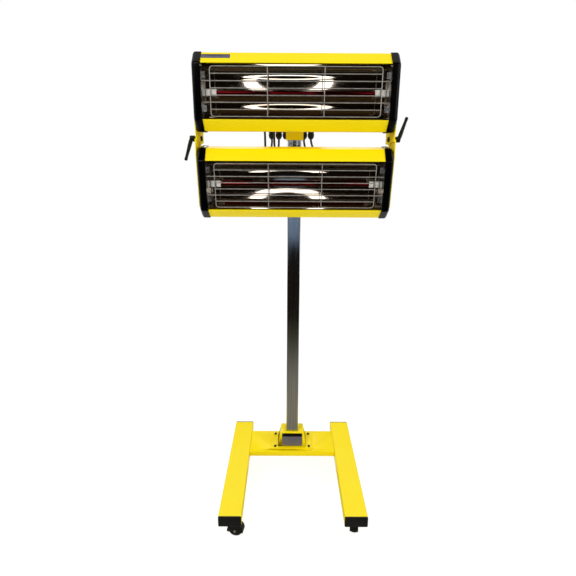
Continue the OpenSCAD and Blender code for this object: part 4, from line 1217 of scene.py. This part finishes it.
def buildStage(values):
    world = bpy.data.worlds.new("studio")
    bpy.context.scene.world = world
    world.use_nodes = True
    tree = world.node_tree
    tree.nodes.clear()
    dim = addNode(tree, "ShaderNodeBackground", {"Color": linear("#ffffff"), "Strength": values["ambient"]})
    white = addNode(tree, "ShaderNodeBackground", {"Color": linear("#ffffff"), "Strength": 1.0})
    mixed = addNode(tree, "ShaderNodeMixShader", {0: glowNodes(tree), 1: dim.outputs[0],
                                                  2: white.outputs[0]})
    addNode(tree, "ShaderNodeOutputWorld", {"Surface": mixed.outputs[0]})

    bm = bmesh.new()
    s = values["floorSize"] / 2
    bm.faces.new([bm.verts.new(p) for p in [(x, y, 0) for x, y in rectangle(s, s)]])
    floor = fromMesh("floor", bm)
    material, tree, shader, _ = newMaterial("paleFloor", "#d8d8d8", 0.9)
    matt = addNode(tree, "ShaderNodeBsdfDiffuse", {"Color": linear("#8a8a8a")})
    shine = addNode(tree, "ShaderNodeEmission", {"Color": linear("#ffffff"), "Strength": values["floorGlow"]})
    both = addNode(tree, "ShaderNodeAddShader", {0: matt.outputs[0], 1: shine.outputs[0]})
    plain = addNode(tree, "ShaderNodeBsdfDiffuse", {"Color": linear("#e6e6e6")})
    mixed = addNode(tree, "ShaderNodeMixShader", {0: glowNodes(tree), 1: plain.outputs[0],
                                                  2: both.outputs[0]})
    giveSurface(tree, shader, mixed.outputs[0])
    floor.data.materials.append(material)


def glossOnly(piece):
    # seen in mirrors alone, so that it neither shows nor shades
    piece.visible_camera = False
    piece.visible_diffuse = False
    piece.visible_shadow = False
    piece.visible_transmission = False


# The room that the lamp mirrors, whose tones are painted reflections: two corners of each flat piece, and its
# tones by place along one axis
roomPieces = {
    "wall": ((-3.2, -3.4, 0), (3.2, -3.4, 3.4), 2, [
        (0.0, "#1d1813"), (0.8, "#17110b"), (1.5, "#0f0a06"), (1.9, "#483a23"), (2.6, "#3c2f1e"),
        (3.4, "#0f0a06")]),
    "panel": ((-0.16, -3.39, 0.3), (0.16, -3.39, 0.8), 2, [
        (0.3, "#1d1813"), (0.42, "#8195ad"), (0.72, "#8ba0b9"), (0.8, "#17110b")]),
    "mat": ((-3.2, -3.4, 0.004), (3.2, 0.1, 0.004), 1, [
        (-3.4, "#1d1813"), (-1.8, "#1d1813"), (-1.32, "#474739"), (-0.69, "#898477"), (-0.34, "#97907a"),
        (0.1, "#8d8878")]),
    "ceiling": ((-3.2, -3.4, 3.4), (3.2, -0.3, 3.4), 1, [
        (-3.4, "#0f0a06"), (-2.2, "#483a23"), (-1.2, "#0f0a06"), (-0.3, "#2a2013")]),
    "back": ((-3.2, 3.4, 0), (3.2, 3.4, 3.4), 2, [
        (0.0, "#9a9788"), (0.7, "#4a4738"), (1.8, "#3a372c"), (3.4, "#55513f")]),
}


def glowing(name, axis, stops, strength=1.0):
    # even light whose colour changes along one axis
    material, tree, shader, where = newMaterial(name, "#ffffff", 0.5)
    place = addNode(tree, "ShaderNodeSeparateXYZ", {0: where}).outputs[axis]
    low, high = stops[0][0], stops[-1][0]
    ramp = addNode(tree, "ShaderNodeValToRGB", {0: spread(tree, place, 0, 1, low, high)})
    elements = ramp.color_ramp.elements
    while len(elements) < len(stops):
        elements.new(0.5)
    for element, (stop, colour) in zip(elements, stops):
        element.position = (stop - low) / (high - low)
        element.color = linear(colour)
    shine = addNode(tree, "ShaderNodeEmission", {"Color": ramp.outputs[0], "Strength": strength})
    giveSurface(tree, shader, shine.outputs[0])
    return material


def buildReflections(values):
    # what stands in front of the lamp: a lit ring round the camera before a dark room
    eye = bpy.context.scene.camera.matrix_world
    bm = bmesh.new()
    rings = [[(r * math.cos(a), r * math.sin(a), values["ringAhead"]) for a in circle(64)]
             for r in (values["ringInner"], values["ringOuter"])]
    strip(bm, rings, closeEnds=False)
    ring = fromMesh("ringLight", bm, eye)
    ring.data.materials.append(glowing("ringGlow", 0, [(-1, "#ffffff"), (1, "#ffffff")], values["ringGlow"]))
    glossOnly(ring)

    for name, ((x0, y0, z0), (x1, y1, z1), axis, stops) in roomPieces.items():
        bm = bmesh.new()
        bm.faces.new([bm.verts.new(p) for p in ((x0, y0, z0), (x1, y0, z0), (x1, y1, z1), (x0, y1, z1))])
        piece = fromMesh("room_" + name, bm)
        piece.data.materials.append(glowing("room_" + name, axis, stops))
        glossOnly(piece)


lampValues = {"target": (0, 0, 0.9), "key": ((-1.6, -2.4, 2.9), 34, 1.6), "fill": ((1.9, -2.0, 2.0), 20, 1.8),
              "rim": ((0.0, 2.4, 2.8), 24, 1.8)}


def buildLamps(v):
    for name in ("key", "fill", "rim"):
        place, power, size = v[name]
        data = bpy.data.lights.new(name, "AREA")
        data.energy = power
        data.size = size
        lamp = bpy.data.objects.new(name, data)
        bpy.context.scene.collection.objects.link(lamp)
        lamp.location = place
        lamp.rotation_euler = (Vector(v["target"]) - Vector(place)).to_track_quat("-Z", "Y").to_euler()


buildStage(stageValues)
buildReflections(stageValues)
buildLamps(lampValues)
bpy.context.scene.view_settings.view_transform = "Standard"
print("stage built")
